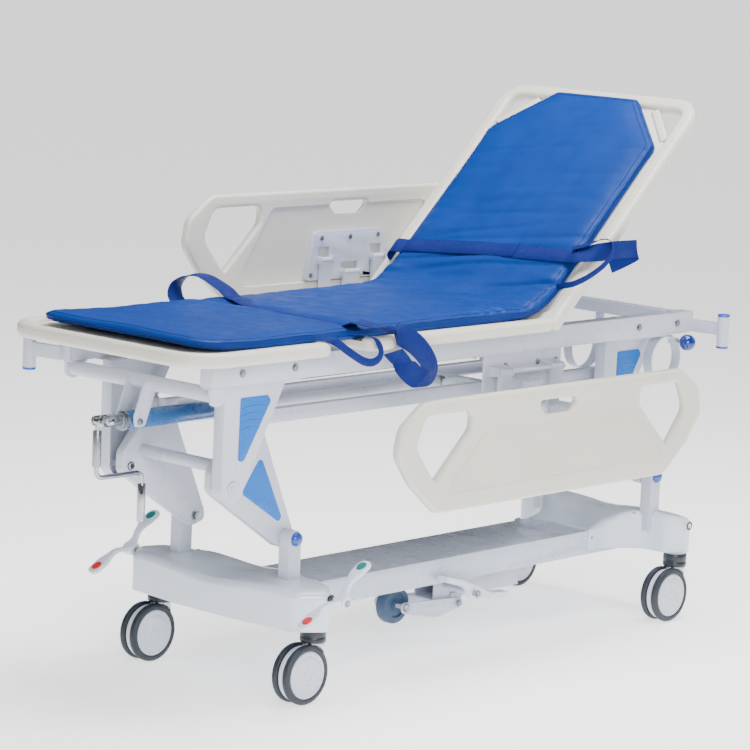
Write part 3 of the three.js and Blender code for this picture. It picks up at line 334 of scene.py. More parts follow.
def fill_ring(verts, faces, first, ring, extra, height, flip=False, merge=1e-7):
    """Fills the ring of points that starts at vertex first with triangles, through the extra points."""
    n = len(ring)
    edges = [(k, (k + 1) % n) for k in range(n)]
    flat, _, tris, origin, _, _ = delaunay_2d_cdt(ring + extra, edges, [list(range(n))], 1, merge)
    lookup = {}
    for index, (p, source) in enumerate(zip(flat, origin)):
        rim = [s for s in source if s < n]
        lookup[index] = first + rim[0] if rim else len(verts)
        if not rim:
            verts.append((p.x, p.y, height(p.x, p.y)))
    for face in tris:
        ids = [lookup[i] for i in face]
        faces.append(tuple(reversed(ids)) if flip else tuple(ids))


UP = {
    "Y": Matrix(((1, 0, 0, 0), (0, 0, -1, 0), (0, 1, 0, 0), (0, 0, 0, 1))),
    "X": Matrix(((0, 0, 1, 0), (1, 0, 0, 0), (0, 1, 0, 0), (0, 0, 0, 1))),
    "Z": Matrix.Identity(4),
}


def slab(name, loops, span, plane, mat, body, bevel=0.002, res=3):
    """Flat piece from closed outlines (the first outside, the rest holes), drawn in metres in X-Z for
    plane Y, Y-Z for plane X and X-Y for plane Z, between the two levels in span."""
    curve = bpy.data.curves.new(name, "CURVE")
    curve.dimensions = "2D"
    curve.fill_mode = "BOTH"
    low, high = min(span), max(span)
    bevel = min(bevel, (high - low) * 0.49)
    curve.extrude = (high - low) / 2 - bevel
    curve.bevel_depth = bevel
    curve.bevel_resolution = res
    curve.offset = -bevel
    for loop in loops:
        spline = curve.splines.new("POLY")
        spline.points.add(len(loop) - 1)
        for point, p in zip(spline.points, loop):
            point.co = (p[0], p[1], 0, 1)
        spline.use_cyclic_u = True
    obj = placed(name, curve)
    mid = (low + high) / 2
    shift = {"Y": (0, mid, 0), "X": (mid, 0, 0), "Z": (0, 0, mid)}[plane]
    obj.matrix_world = Matrix.Translation(shift) @ UP[plane]
    obj = tidy(bake(obj))
    return finish_mesh(obj, mat, body)


def shaped(points, at=(0, 0), radius=0.0, steps=7):
    """Outline from millimetre offsets around a point in metres."""
    moved = [(at[0] + p[0] * MM, at[1] + p[1] * MM) + ((p[2] * MM,) if len(p) > 2 else ())
        for p in points]
    return arc_corners(moved, radius * MM, steps)


def turned(name, profile, centre, axis, mat, body, segments=48, sharp=35):
    """Body of revolution: profile of (radius, height) in metres along an axis direction from centre."""
    axis = Vector(axis).normalized()
    frame_of = axis.to_track_quat("Z", "Y").to_matrix()
    verts, faces, rings = [], [], []
    for r, h in profile:
        if r < 1e-7:
            rings.append([len(verts)])
            verts.append(Vector((0, 0, h)))
        else:
            rings.append(list(range(len(verts), len(verts) + segments)))
            for k in range(segments):
                a = 2 * math.pi * k / segments
                verts.append(Vector((r * math.cos(a), r * math.sin(a), h)))
    for lower, upper in zip(rings, rings[1:]):
        for k in range(segments):
            a0, a1 = lower[k % len(lower)], lower[(k + 1) % len(lower)]
            b0, b1 = upper[k % len(upper)], upper[(k + 1) % len(upper)]
            face = list(dict.fromkeys([a0, a1, b1, b0]))
            if len(face) > 2:
                faces.append(face)
    obj = from_data(name, [Vector(centre) + frame_of @ v for v in verts], faces)
    return finish_mesh(tidy(obj, 1e-7), mat, body, sharp)


def about(profile):
    """Profile of a turned body whose other half mirrors the one given."""
    return profile + [(r, -h) for r, h in reversed(profile)]


def rod(name, start, end, radius, mat, body, edge=0.0015, segments=32):
    start, end = Vector(start), Vector(end)
    length = (end - start).length
    edge = min(edge, radius * 0.5, length * 0.4)
    profile = [(0, 0), (radius - edge, 0), (radius - edge * 0.3, edge * 0.3), (radius, edge),
        (radius, length - edge), (radius - edge * 0.3, length - edge * 0.3), (radius - edge, length),
        (0, length)]
    return turned(name, profile, start, end - start, mat, body, segments)


def tube(name, points, radius, mat, body, bend=0.02, segments=20):
    """Round bar through points, with rounded bends and closed ends."""
    path = [Vector(points[0])]
    for i in range(1, len(points) - 1):
        here = Vector(points[i])
        back = Vector(points[i - 1]) - here
        ahead = Vector(points[i + 1]) - here
        reach = min(bend, 0.45 * back.length, 0.45 * ahead.length)
        a, b = here + back.normalized() * reach, here + ahead.normalized() * reach
        for k in range(9):
            t = k / 8
            path.append(a * (1 - t) ** 2 + here * 2 * t * (1 - t) + b * t * t)
    path.append(Vector(points[-1]))
    return sweep(name, path, oval(radius, radius, segments), mat, body)


def sweep(name, path, section, mat, body):
    """Closed section carried along a path and turned as little as possible."""
    verts = []
    side = None
    for i, p in enumerate(path):
        ahead = path[min(i + 1, len(path) - 1)] - path[max(i - 1, 0)]
        ahead = ahead.normalized()
        if side is None:
            guess = Vector((0, 0, 1)) if abs(ahead.z) < 0.9 else Vector((1, 0, 0))
            side = ahead.cross(guess).normalized()
        else:
            side = (side - ahead * side.dot(ahead)).normalized()
        other = side.cross(ahead).normalized()
        for a, b in section:
            verts.append(p + side * a + other * b)
    obj = from_data(name, verts, bar_faces(len(path), len(section)))
    return finish_mesh(tidy(obj, FINE_WELD), mat, body)


def block(name, lo, hi, mat, body, bevel=0.002):
    lo, hi = Vector(lo), Vector(hi)
    corners = [(x, y, z) for x in (lo.x, hi.x) for y in (lo.y, hi.y) for z in (lo.z, hi.z)]
    faces = [(0, 1, 3, 2), (4, 6, 7, 5), (0, 4, 5, 1), (2, 3, 7, 6), (0, 2, 6, 4), (1, 5, 7, 3)]
    obj = tidy(from_data(name, corners, faces))
    return finish_mesh(bevelled(obj, min(bevel, 0.45 * min(hi - lo))), mat, body)


def join(name, parts):
    """Joins mesh pieces that ride on one body into one piece."""
    body = parts[0]["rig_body"]
    work = bmesh.new()
    mats = []
    for part in parts:
        mesh = part.data.copy()
        mesh.transform(part.matrix_world)
        offset = []
        for mat in mesh.materials:
            if mat not in mats:
                mats.append(mat)
            offset.append(mats.index(mat))
        for poly in mesh.polygons:
            poly.material_index = offset[poly.material_index] if offset else 0
        work.from_mesh(mesh)
        bpy.data.meshes.remove(mesh)
    mesh = bpy.data.meshes.new(name)
    work.to_mesh(mesh)
    work.free()
    for mat in mats:
        mesh.materials.append(mat)
    for part in parts:
        bpy.data.objects.remove(part)
    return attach(placed(name, mesh), body)


def refined(node, mat, body, bevel=0.0015, angle=25, segments=2):
    """A copy of a CAD node with its flat faces made whole and its edges rounded."""
    source = frame["nodes"][node]
    obj = placed(node + "_shown", source.data.copy())
    work = bmesh.new()
    work.from_mesh(obj.data)
    bmesh.ops.remove_doubles(work, verts=work.verts, dist=2e-5)
    bmesh.ops.dissolve_limit(work, angle_limit=math.radians(1.0), verts=work.verts, edges=work.edges)
    work.to_mesh(obj.data)
    work.free()
    obj = bevelled(obj, bevel, segments, angle)
    obj = finish_mesh(obj, mat, body)
    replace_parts(obj, node)
    return obj


def bolt(name, at, axis, mat, body, size=0.009, washer=True):
    """Hexagon bolt head on its washer."""
    axis = Vector(axis).normalized()
    at = Vector(at)
    parts = []
    height = 0.0
    if washer:
        parts.append(turned(name + "_w", [(0, 0), (size * 1.25, 0), (size * 1.35, 0.0006),
            (size * 1.3, 0.0016), (0, 0.0016)], at, axis, mat, body, 24))
        height = 0.0016
    head = turned(name + "_h", [(0, height), (size * 1.02, height), (size * 1.02, height + size * 0.45),
        (size * 0.86, height + size * 0.6), (0, height + size * 0.6)], at, axis, mat, body, 6, 20)
    parts.append(head)
    socket = turned(name + "_s", [(0, height + size * 0.6), (size * 0.45, height + size * 0.6),
        (size * 0.4, height + size * 0.75), (0, height + size * 0.75)], at, axis, mat, body, 16)
    parts.append(socket)
    return join(name, parts)


# ---------------------------------------------------------------- casters
def caster(end, flank):
    tag = f"{end}_{flank}"
    stem = JOINT[f"swivel_{tag}"]
    axle = JOINT[f"roll_{tag}"]
    r = axle.z
    body, spin = f"caster_{tag}", f"wheels_{tag}"
    shown = []
    for side in (-1, 1):
        inner, outer = 0.0088 * side, 0.0285 * side
        flat = [(r - a, inner + b * side) for a, b in ((0.008, 0), (0.0035, 0.001), (0.0008, 0.004),
            (0, 0.0075))]
        crown = [(r - a, outer - b * side) for a, b in ((0, 0.0085), (0.001, 0.005), (0.004, 0.0018),
            (0.010, 0.0002), (0.0145, 0.0012), (0.0155, 0.004))]
        bead = [(r - a, outer - b * side) for a, b in ((0.0155, 0.004), (0.0162, 0.0022), (0.0185, 0.001),
            (0.024, 0.0006), (0.026, 0.0014), (0.028, 0.0006))]
        dish = [(a, outer + b * side) for a, b in (
            (0.034, 0.0001), (0.014, 0.0004), (0.013, -0.0006), (0.0115, 0.0006), (0, 0.001))]
        tread = [(0.050, inner)] + flat + crown + [(0.050, outer - 0.005 * side)]
        shown.append(turned(f"tyre_{tag}_{side}", tread, axle, (0, 1, 0), TYRE, spin, 72))
        shown.append(turned(f"hub_{tag}_{side}", bead + dish, axle, (0, 1, 0), HUB, spin, 64))
    wheel = join(f"wheel_pair_{tag}", shown)
    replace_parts(wheel, f"caster_wheels_{tag}")
    # hood: a disc between the wheels that swells into a rounded shoulder under the neck
    hood = turned(f"hood_{tag}", about([(0, -0.0076), (0.066, -0.0076), (0.0685, -0.0064),
        (0.0695, -0.004)]), axle, (0, 1, 0), HOOD, body, 64)
    neck_r = 0.0285
    neck = turned(f"neck_{tag}", [(0, -0.030), (neck_r - 0.006, -0.030), (neck_r - 0.001, -0.026),
        (neck_r, -0.020), (neck_r, 0.0175), (neck_r - 0.001, 0.0195), (0, 0.0195)], stem, (0, 0, 1), HOOD,
        body, 48)
    cutter = turned(f"cut_{tag}", [(0, 0.0076), (r + 0.002, 0.0076), (r + 0.002, 0.04), (0, 0.04)], axle,
        (0, 1, 0), HOOD, None, 64)
    for side in (1, -1):
        knife = placed(f"knife_{tag}", cutter.data.copy())
        if side < 0:
            knife.data.transform(Matrix.Translation((0, 2 * axle.y, 0)) @ Matrix.Diagonal((1, -1, 1, 1)))
            knife.data.flip_normals()
        neck = carve(neck, knife)
    bpy.data.objects.remove(cutter)
    finish_mesh(neck, HOOD, body)
    shell = join(f"caster_hood_{tag}", [hood, neck])
    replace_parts(shell, f"caster_housing_{tag}")
    ring_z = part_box("base_frame")[0].z
    turned(f"collar_{tag}", [(0.028, 0), (0.0322, 0.0004), (0.0328, 0.003), (0.0328, 0.012),
        (0.0318, 0.0135), (0.0318, 0.0155), (0.0328, 0.017), (0.0328, 0.034), (0.031, 0.0366),
        (0.028, 0.0366)], (stem.x, stem.y, ring_z), (0, 0, 1), DARK, "base", 48)
    turned(f"swivel_race_{tag}", [(0.0287, -0.004), (0.030, -0.0036), (0.030, -0.0006), (0.0287, 0)],
        (stem.x, stem.y, ring_z), (0, 0, 1), STEEL, body, 48)


for end in ("foot", "head"):
    for flank in ("near", "far"):
        caster(end, flank)


# ---------------------------------------------------------------- base
def loop_offset(loop, distance):
    """Moves each point of a closed loop inwards by distance."""
    n = len(loop)
    area = sum(loop[i].x * loop[(i + 1) % n].y - loop[(i + 1) % n].x * loop[i].y for i in range(n))
    turn = 1 if area > 0 else -1
    out = []
    for i in range(n):
        tangent = (loop[(i + 1) % n] - loop[i - 1]).normalized()
        out.append(loop[i] + Vector((-tangent.y, tangent.x)) * turn * distance)
    return out


def resampled(loop, step):
    """The closed loop with points at most about a step apart."""
    out = []
    n = len(loop)
    for i in range(n):
        a, b = loop[i], loop[(i + 1) % n]
        parts = max(1, round((b - a).length / step))
        out += [a.lerp(b, k / parts) for k in range(parts)]
    return out


def moulded_top(name, loop, height, base, mat, body):
    """Moulding with plan outline loop, standing on level base, whose top is the function height(x, y)
    rounded over at the rim."""
    round_r, grid = 0.016, 0.016
    loop = resampled(loop, 0.012)
    n = len(loop)
    rings = [(0.0, 1.0)] + [(round_r * (1 - math.cos(a)), 1 - math.sin(a))
        for a in (math.radians(d) for d in (15, 32, 50, 68, 90))]
    verts = [(p.x, p.y, base) for p in loop]
    for inward, drop in rings:
        verts += [(p.x, p.y, height(p.x, p.y) - round_r * drop) for p in loop_offset(loop, inward)]
    faces = wall_faces(len(rings) + 1, n)
    last = loop_offset(loop, round_r)
    xs, ys = [p.x for p in last], [p.y for p in last]
    points = []
    x = min(xs)
    while x < max(xs):
        y = min(ys)
        while y < max(ys):
            points.append(Vector((x, y)))
            y += grid
        x += grid
    fill_ring(verts, faces, len(rings) * n, last, points, height, False, 1e-6)
    obj = from_data(name, verts, faces)
    return finish_mesh(tidy(obj, 1e-6), mat, body, 50)


def base_cover(end):
    lo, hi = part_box(f"base_{end}_cover")
    sign = -1 if end == "foot" else 1
    stem_x = JOINT[f"swivel_{end}_near"].x
    seam = hi.x if end == "foot" else lo.x
    far = lo.x if end == "foot" else hi.x
    wide = hi.y
    tip = stem_x + sign * (0.018 if end == "foot" else 0.028)
    tray = 0.1125
    side = [(seam, tray), (seam + sign * 0.062, tray + 0.002, 0.05),
        (stem_x - sign * 0.034, tray + 0.075, 0.09), (stem_x - sign * 0.036, wide - 0.048, 0.045),
        (tip, wide, 0.022), (far - sign * 0.020, wide - 0.052, 0.04), (far, 0.10, 0.10)]
    mirrored = [(p[0], -p[1]) + tuple(p[2:]) for p in reversed(side)]
    loop = arc_corners(side + mirrored, 0.0, 8)
    top, seam_top = hi.z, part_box("base_frame")[1].z + 0.005

    def height(x, y):
        t = min(1.0, max(0.0, (x - seam) * sign / 0.150))
        rise = seam_top + (top - seam_top) * (t * t * (3 - 2 * t))
        out = max(0.0, (x - (far - sign * 0.09)) * sign / 0.09)
        dip = 0.010 * math.exp(-(y / 0.095) ** 2) * t
        edge = 0.012 * max(0.0, (abs(y) - 0.19) / 0.15) ** 2 * t
        return rise - dip - edge - 0.012 * out * out

    cover = moulded_top(f"base_{end}_moulding", loop, height, lo.z, COVER, "base")
    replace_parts(cover, f"base_{end}_cover")
    for side_y in (-1, 1):
        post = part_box(f"{end}_post_" + ("near" if side_y < 0 else "far"))
        mid = (post[0] + post[1]) / 2
        screw_x = mid.x - sign * 0.045
        turned(f"cover_screw_{end}_{side_y}", [(0, 0), (0.0052, 0), (0.0044, 0.0012), (0.002, 0.0016),
            (0, 0.0010)], (screw_x, mid.y, height(screw_x, mid.y)), (0, 0, 1), STEEL, "base", 20)
        turned(f"seam_screw_{end}_{side_y}", [(0, 0), (0.0046, 0), (0.004, 0.001), (0, 0.0014)],
            (seam + sign * 0.014, side_y * (tray + 0.0002), lo.z + 0.035), (0, side_y, 0), STEEL, "base",
            20)
        turned(f"shaft_hole_{end}_{side_y}", [(0.0075, 0), (0.0125, 0), (0.0125, 0.0010),
            (0.0075, 0.0012)], (stem_x + sign * 0.010, side_y * (wide - 0.005), JOINT["brake_rock"].z),
            (0, side_y, 0), DARK, "base", 24)
    return cover


base_cover("foot")
base_cover("head")
refined("base_frame", TRAY, "base", 0.0025)
refined("fifth_wheel_bracket", PAINT, "base", 0.0012)


def post(end, flank):
    node = f"{end}_post_{flank}"
    lo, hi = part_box(node)
    side = SIDES[flank]
    pivot = B_FOOT if end == "foot" else B_FOOT + HEAD_SET
    outboard = lo.y if side < 0 else hi.y
    inboard = outboard - side * 0.038
    r = 0.021
    points = [(pivot.x - r, lo.z), (pivot.x + r, lo.z)]
    for angle in range(0, 181, 12):
        turn = math.radians(angle)
        points.append((pivot.x + r * math.cos(turn), pivot.z + r * math.sin(turn)))
    loop = [Vector(p) for p in points]
    upright = slab(f"{node}_column", [loop], (inboard, outboard), "Y", PAINT, "base", 0.003)
    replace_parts(upright, node)
    dome = turned(f"{node}_cap", [(0.0, 0.0), (0.0165, 0.0), (0.0178, 0.0012), (0.0175, 0.004),
        (0.0155, 0.0085), (0.011, 0.0118), (0.005, 0.0134), (0, 0.0137)], (pivot.x, outboard, pivot.z),
        (0, side, 0), CAP, "base", 40)
    bolt(f"{node}_nut", (pivot.x, side * 0.1415, pivot.z), (0, -side, 0), STEEL, "base", 0.011)


for end in ("foot", "head"):
    for flank in ("near", "far"):
        post(end, flank)


# ---------------------------------------------------------------- central brake
PEDAL_TILT = -31                  # degrees, red end down, as it rests


def pedal(flank):
    """Rocking brake pedal with a red and a green pad."""
    side = SIDES[flank]
    pivot = JOINT["brake_rock"]
    lo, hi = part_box(f"brake_pedal_{flank}")
    mid_y = (lo.y + hi.y) / 2
    tilt = Matrix.Translation((pivot.x, mid_y, pivot.z)) @ Matrix.Rotation(math.radians(PEDAL_TILT), 4,
        "Y")
    half = 0.0195
    edge = [(-0.142, -half, 0.018), (-0.094, -half, 0.02), (-0.066, -0.0105, 0.02),
        (-0.018, -0.009, 0.02), (-0.010, -0.017, 0.012), (0.012, -0.017, 0.012), (0.022, -0.009, 0.02),
        (0.048, -0.0105, 0.02), (0.074, -half, 0.02), (0.121, -half, 0.018)]
    plan = arc_corners(edge + [(x, -y, corner) for x, y, corner in reversed(edge)])
    verts = []
    loop = resampled(plan, 0.004)
    n = len(loop)

    def lift(x):
        sag = math.exp(-(x / 0.032) ** 2)
        return 0.037 - 0.024 * sag

    def deep(x):
        return 0.010 + 0.006 * math.exp(-(x / 0.03) ** 2)

    levels = [(0.0035, 0.0), (0.0008, 0.12), (0.0, 0.3), (0.0, 0.7), (0.0008, 0.88), (0.0035, 1.0)]
    for inward, t in levels:
        for p in loop_offset(loop, inward):
            verts.append(Vector((p.x, p.y, lift(p.x) - deep(p.x) * (1 - t))))
    faces = wall_faces(len(levels), n)
    extra = [Vector((x * 0.004, 0)) for x in range(-34, 30)]
    extra += [Vector((x * 0.004, s * 0.006)) for x in range(-34, 30) for s in (-1, 1)]
    for level, under in ((0, True), (len(levels) - 1, False)):
        ring = [Vector((verts[level * n + k].x, verts[level * n + k].y)) for k in range(n)]
        fill_ring(verts, faces, level * n, ring, extra, lambda x, y: lift(x) - (deep(x) if under else 0),
            under)
    board = from_data(f"pedal_board_{flank}", [tilt @ Vector(v) for v in verts], faces)
    board = finish_mesh(tidy(board, 1e-7), COVER, "brake", 50)
    hub = turned(f"pedal_hub_{flank}", about([(0, -0.0185), (0.0145, -0.0185), (0.0165, -0.0165)]),
        (pivot.x, mid_y, pivot.z), (0, 1, 0), COVER, "brake", 40)
    whole = join(f"pedal_{flank}", [board, hub])
    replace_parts(whole, f"brake_pedal_{flank}")
    bolt(f"pedal_bolt_{flank}", (pivot.x, mid_y + side * 0.0185, pivot.z), (0, side, 0), STEEL, "brake",
        0.0068)
    for label, x, mat in (("red", -0.117, RED), ("green", 0.097, GREEN)):
        disc = turned(f"pedal_{label}_{flank}", [(0, 0), (0.0118, 0), (0.0125, 0.0008), (0.0115, 0.002),
            (0.006, 0.0028), (0, 0.0030)], (0, 0, 0), (0, 0, 1), mat, None, 36)
        disc.data.transform(tilt @ Matrix.Translation((x, 0, lift(x) - 0.0004)) @ Matrix.Diagonal((1.15,
            1, 1, 1)))
        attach(disc, "brake")


for flank in ("near", "far"):
    pedal(flank)
brake_lo, brake_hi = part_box("brake_shaft")
shaft = rod("brake_cross_shaft", (JOINT["brake_rock"].x, brake_lo.y, JOINT["brake_rock"].z),
    (JOINT["brake_rock"].x, brake_hi.y, JOINT["brake_rock"].z), 0.0088, STEEL, "brake", 0.001, 6)
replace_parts(shaft, "brake_shaft")


# ---------------------------------------------------------------- fifth wheel
axle = JOINT["fifth_spin"]
wheel_r = axle.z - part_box("fifth_wheel")[0].z
wheel = turned("fifth_wheel_tread", about([(0.0063, -0.0165), (0.016, -0.0165), (0.017, -0.013),
    (0.031, -0.012), (0.033, -0.0165), (wheel_r - 0.006, -0.0168), (wheel_r - 0.002, -0.015),
    (wheel_r, -0.010)]), axle, (0, 1, 0), WHEEL_BLUE, "fifth_wheel", 56)
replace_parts(wheel, "fifth_wheel")
refined("fifth_wheel_arm", PAINT, "fifth_arm", 0.0012)
pivot = JOINT["fifth_lower"]
for side in (-1, 1):
    bolt(f"fifth_axle_bolt_{side}", (axle.x, side * 0.0505, axle.z), (0, side, 0), STEEL, "fifth_arm",
        0.010)
    bolt(f"fifth_pivot_bolt_{side}", (pivot.x, side * 0.0535, pivot.z), (0, side, 0), STEEL, "base",
        0.008)
refined("fifth_wheel_pedal", COVER, "fifth_pedal", 0.003, 20, 3)
pivot = JOINT["fifth_pedal_rock"]
bolt("fifth_pedal_bolt", (pivot.x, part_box("fifth_wheel_pedal")[0].y - 0.0005, pivot.z), (0, -1, 0), STEEL,
    "fifth_pedal", 0.008)


# ---------------------------------------------------------------- lift linkage
def rocker(end):
    shift = HEAD_SET if end == "head" else Vector()
    a, b, c = A_FOOT + shift, B_FOOT + shift, C_FOOT + shift
    node = f"{end}_rocker"
    thick = 0.029
    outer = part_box(node)[1].y
    ax, az = (a.x - b.x) / MM, (a.z - b.z) / MM
    cx, cz = (c.x - b.x) / MM, (c.z - b.z) / MM
    face = [(34, -14, 26), (30, 14, 16), (cx + 28, cz + 6, 24), (cx - 20, cz + 18, 22),
        (ax - 26, az + 36, 30), (ax - 26, az - 14, 22), (ax - 4, az - 30, 18), (-14, -27, 24)]
    insert = [(-98, 204, 8), (-86, 198, 12), (-13, 50, 16), (-24, 40, 8), (-152, 122, 10), (-149, 134, 8)]
    parts = []
    for side in (-1, 1):
        span = (side * (outer - thick), side * outer)
        parts.append(slab(f"{node}_plate_{side}", [shaped(face, (b.x, b.z), 0, 9)], span, "Y", PAINT,
            node, 0.004))
        for label, point, size in (("a", a, 0.0195), ("b", b, 0.0195), ("c", c, 0.018)):
            parts.append(turned(f"{node}_boss_{label}_{side}",
                [(0, 0), (size, 0), (size, 0.0012), (size - 0.0012, 0.0022), (0, 0.0022)],
                (point.x, side * outer, point.z), (0, side, 0), PAINT, node, 40))
    cross = a + Vector((0.041, 0, 0.035))
    reach = outer - thick + 0.002
    parts.append(rod(f"{node}_cross", (cross.x, -reach, cross.z), (cross.x, reach, cross.z), 0.016, PAINT,
        node, 0.001, 32))
    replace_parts(join(f"{node}_plates", parts), node)
    for side in (-1, 1):
        y = side * outer
        piece = slab(f"{node}_insert_{side}", [shaped(insert, (b.x, b.z))],
            (y - side * 0.001, y + side * 0.0016), "Y", INSERT, node, 0.001)
        inner = side * (outer - thick)
        for label, point in (("a", a), ("b", b)):
            bolt(f"{node}_nut_{label}_{side}", (point.x, inner, point.z), (0, -side, 0), DARK, node,
                0.0085)


def hanger(end, flank):
    shift = HEAD_SET if end == "head" else Vector()
    a = A_FOOT + shift
    side = SIDES[flank]
    node = f"{end}_hanger_{flank}"
    face_y = 0.215
    refined(node, PAINT, "upper", 0.0022, 40)
    parts = []
    for label, size, height in (("disc", 0.0185, 0.0032), ("hub", 0.0085, 0.0048)):
        parts.append(turned(f"{node}_{label}", [(0, 0), (size, 0), (size, height - 0.001),
            (size - 0.001, height), (0, height)], (a.x, side * face_y, a.z), (0, side, 0), PAINT, "upper",
            40))
    join(f"{node}_pivot_cover", parts)
    insert = [(15, 219, 5), (107, 219, 5), (118, 205, 8), (32, 64, 10), (14, 66, 8)]
    y = side * face_y
    shape = shaped(insert, (a.x, a.z))
    piece = slab(f"{node}_insert", [shape], (y - side * 0.001, y + side * 0.0022), "Y", INSERT, "upper",
        0.0012)
    ridges = []
    for k in range(4):
        z = a.z + (196 - 17 * k) * MM
        width = 0.086 - 0.008 * k
        path = [Vector((a.x + 0.019 + width * t / 8, y + side * 0.0022,
            z + 0.006 * math.sin(math.pi * t / 8) - 0.004)) for t in range(9)]
        ridges.append(sweep(f"{node}_ridge_{k}", path, oval(0.0011, 0.0011, 8), INSERT, "upper"))
    join(f"{node}_ridges", ridges)


for end in ("foot", "head"):
    rocker(end)
    for flank in ("near", "far"):
        hanger(end, flank)

refined("link_frame", PAINT, "link_frame", 0.0025, 30)


# ---------------------------------------------------------------- jack and crank
pin = JOINT["jack_pitch"]
lo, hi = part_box("jack_tube")
radius = 0.023
tube_parts = [rod("jack_barrel", (lo.x + 0.012, 0, pin.z), (hi.x, 0, pin.z), radius, JACK, "jack", 0.002,
    40), turned("jack_front_ring", [(0.0175, 0), (0.0245, 0), (0.0252, 0.001), (0.0252, 0.010),
    (0.0245, 0.011), (0.0175, 0.011)], (hi.x - 0.011, 0, pin.z), (1, 0, 0), CHROME, "jack", 40),
    turned("jack_rear_ring", [(0, 0), (0.019, 0), (0.020, 0.001), (0.020, 0.011), (0.0235, 0.012),
    (0.0235, 0.020), (0, 0.020)], (lo.x, 0, pin.z), (1, 0, 0), STEEL, "jack", 40),
    rod("jack_trunnions", (pin.x, lo.y, pin.z), (pin.x, hi.y, pin.z), 0.007, STEEL, "jack", 0.001, 24)]
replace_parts(join("jack_outer", tube_parts), "jack_tube")
lo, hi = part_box("jack_push_tube")
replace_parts(rod("push_tube", (lo.x, 0, pin.z), (hi.x, 0, C_FOOT.z), 0.017, PAINT, "jack_push", 0.001, 36),
    "jack_push_tube")
turned("push_tube_eye", [(0, 0), (0.018, 0), (0.0185, 0.001), (0.0185, 0.020), (0.018, 0.021),
    (0, 0.021)], (hi.x - 0.024, 0, C_FOOT.z), (1, 0, 0), STEEL, "jack_push", 32)
refined("crank_fork", CHROME, "crank_fork", 0.0015, 28)

eye = JOINT["crank_fold"]
lo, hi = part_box("crank_handle")
bottom, far_x = eye.z - 0.138, eye.x + 0.150
crank_parts = [tube("crank_bar", [eye, (eye.x, 0, bottom), (far_x, 0, bottom), (far_x, 0, lo.z + 0.004)],
    0.006, CHROME, "crank_handle", 0.022, 24), rod("crank_eye", (eye.x, -0.007, eye.z),
    (eye.x, 0.007, eye.z), 0.0092, CHROME, "crank_handle", 0.0012, 32),
    rod("crank_sleeve", (eye.x, 0, eye.z - 0.022), (eye.x, 0, bottom + 0.028), 0.011, STEEL,
    "crank_handle", 0.0015, 32), rod("crank_grip_bar", (far_x, 0, bottom - 0.028), (far_x, 0, lo.z),
    0.0105, CHROME, "crank_handle", 0.002, 32)]
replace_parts(join("crank_arm", crank_parts), "crank_handle")
bolt("crank_pin", (eye.x, -0.0152, eye.z), (0, -1, 0), STEEL, "crank_fork", 0.0055, False)


# ---------------------------------------------------------------- upper frame
for node, edge in (("upper_frame", 0.0022), ("foot_cross_tube", 0.0012), ("spring_cross_tube", 0.0012),
        ("seat_cross_tube", 0.0012), ("rail_mount_near", 0.0010), ("rail_mount_far", 0.0010)):
    refined(node, PAINT, "upper", edge, 40)
for node in ("corner_post_head_near", "corner_post_foot_far"):
    refined(node, PAINT, "upper", 0.003, 50, 3)
for node, side, way in (("corner_post_head_near", -1, 1), ("corner_post_foot_far", 1, -1)):
    lo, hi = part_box(node)
    r = 0.0165
    x = hi.x - r + 0.0005 if way > 0 else lo.x + r - 0.0005
    y = (lo.y if side < 0 else hi.y) - side * (r - 0.0005)
    tall = hi.z - lo.z
    sleeve = [(r - 0.001, 0.004), (r, 0.005), (r, tall - 0.005), (r - 0.001, tall - 0.004)]
    turned(f"{node}_sleeve", sleeve, (x, y, lo.z), (0, 0, 1), PAINT, "upper", 40)
    for label, z, up in (("top", hi.z, 1), ("bottom", lo.z, -1)):
        cap = turned(f"{node}_cap_{label}", [(0, -0.006), (r + 0.0006, -0.006), (r + 0.0006, -0.001),
            (r - 0.0004, 0), (r - 0.004, 0.0006), (0, 0.0008)], (x, y, z), (0, 0, up), CAP, "upper", 40)
tube_lo, tube_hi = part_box("upper_frame")
for side in (-1, 1):
    y0, y1 = side * (tube_hi.y - 0.0375), side * (tube_hi.y - 0.0025)
    for label, x, way in (("foot", tube_lo.x, -1), ("head", tube_hi.x, 1)):
        x0, x1 = sorted((x + way * 0.0015, x - way * 0.004))
        block(f"tube_cap_{label}_{side}", (x0, min(y0, y1), tube_lo.z + 0.003),
            (x1, max(y0, y1), tube_hi.z - 0.003), PAINT, "upper", 0.0015)
mid_z = (tube_lo.z + tube_hi.z) / 2
for side in (-1, 1):
    for label, x in (("a", -0.783), ("b", -0.605), ("c", 0.735), ("d", 0.905)):
        bolt(f"frame_bolt_{label}_{side}", (x, side * tube_hi.y, mid_z), (0, side, 0), STEEL, "upper",
            0.0078)
mount_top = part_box("rail_mount_near")[1].z
for side in (-1, 1):
    face = side * 0.263
    for label, dx, dz in (("a", -0.066, -0.030), ("b", -0.066, -0.085), ("c", 0.064, -0.030),
            ("d", 0.064, -0.085), ("e", 0.140, -0.030)):
        x = JOINT["rail_swing_near"].x + dx
        bolt(f"mount_bolt_{label}_{side}", (x, face, mount_top + dz), (0, side, 0), STEEL, "upper",
            0.0060)


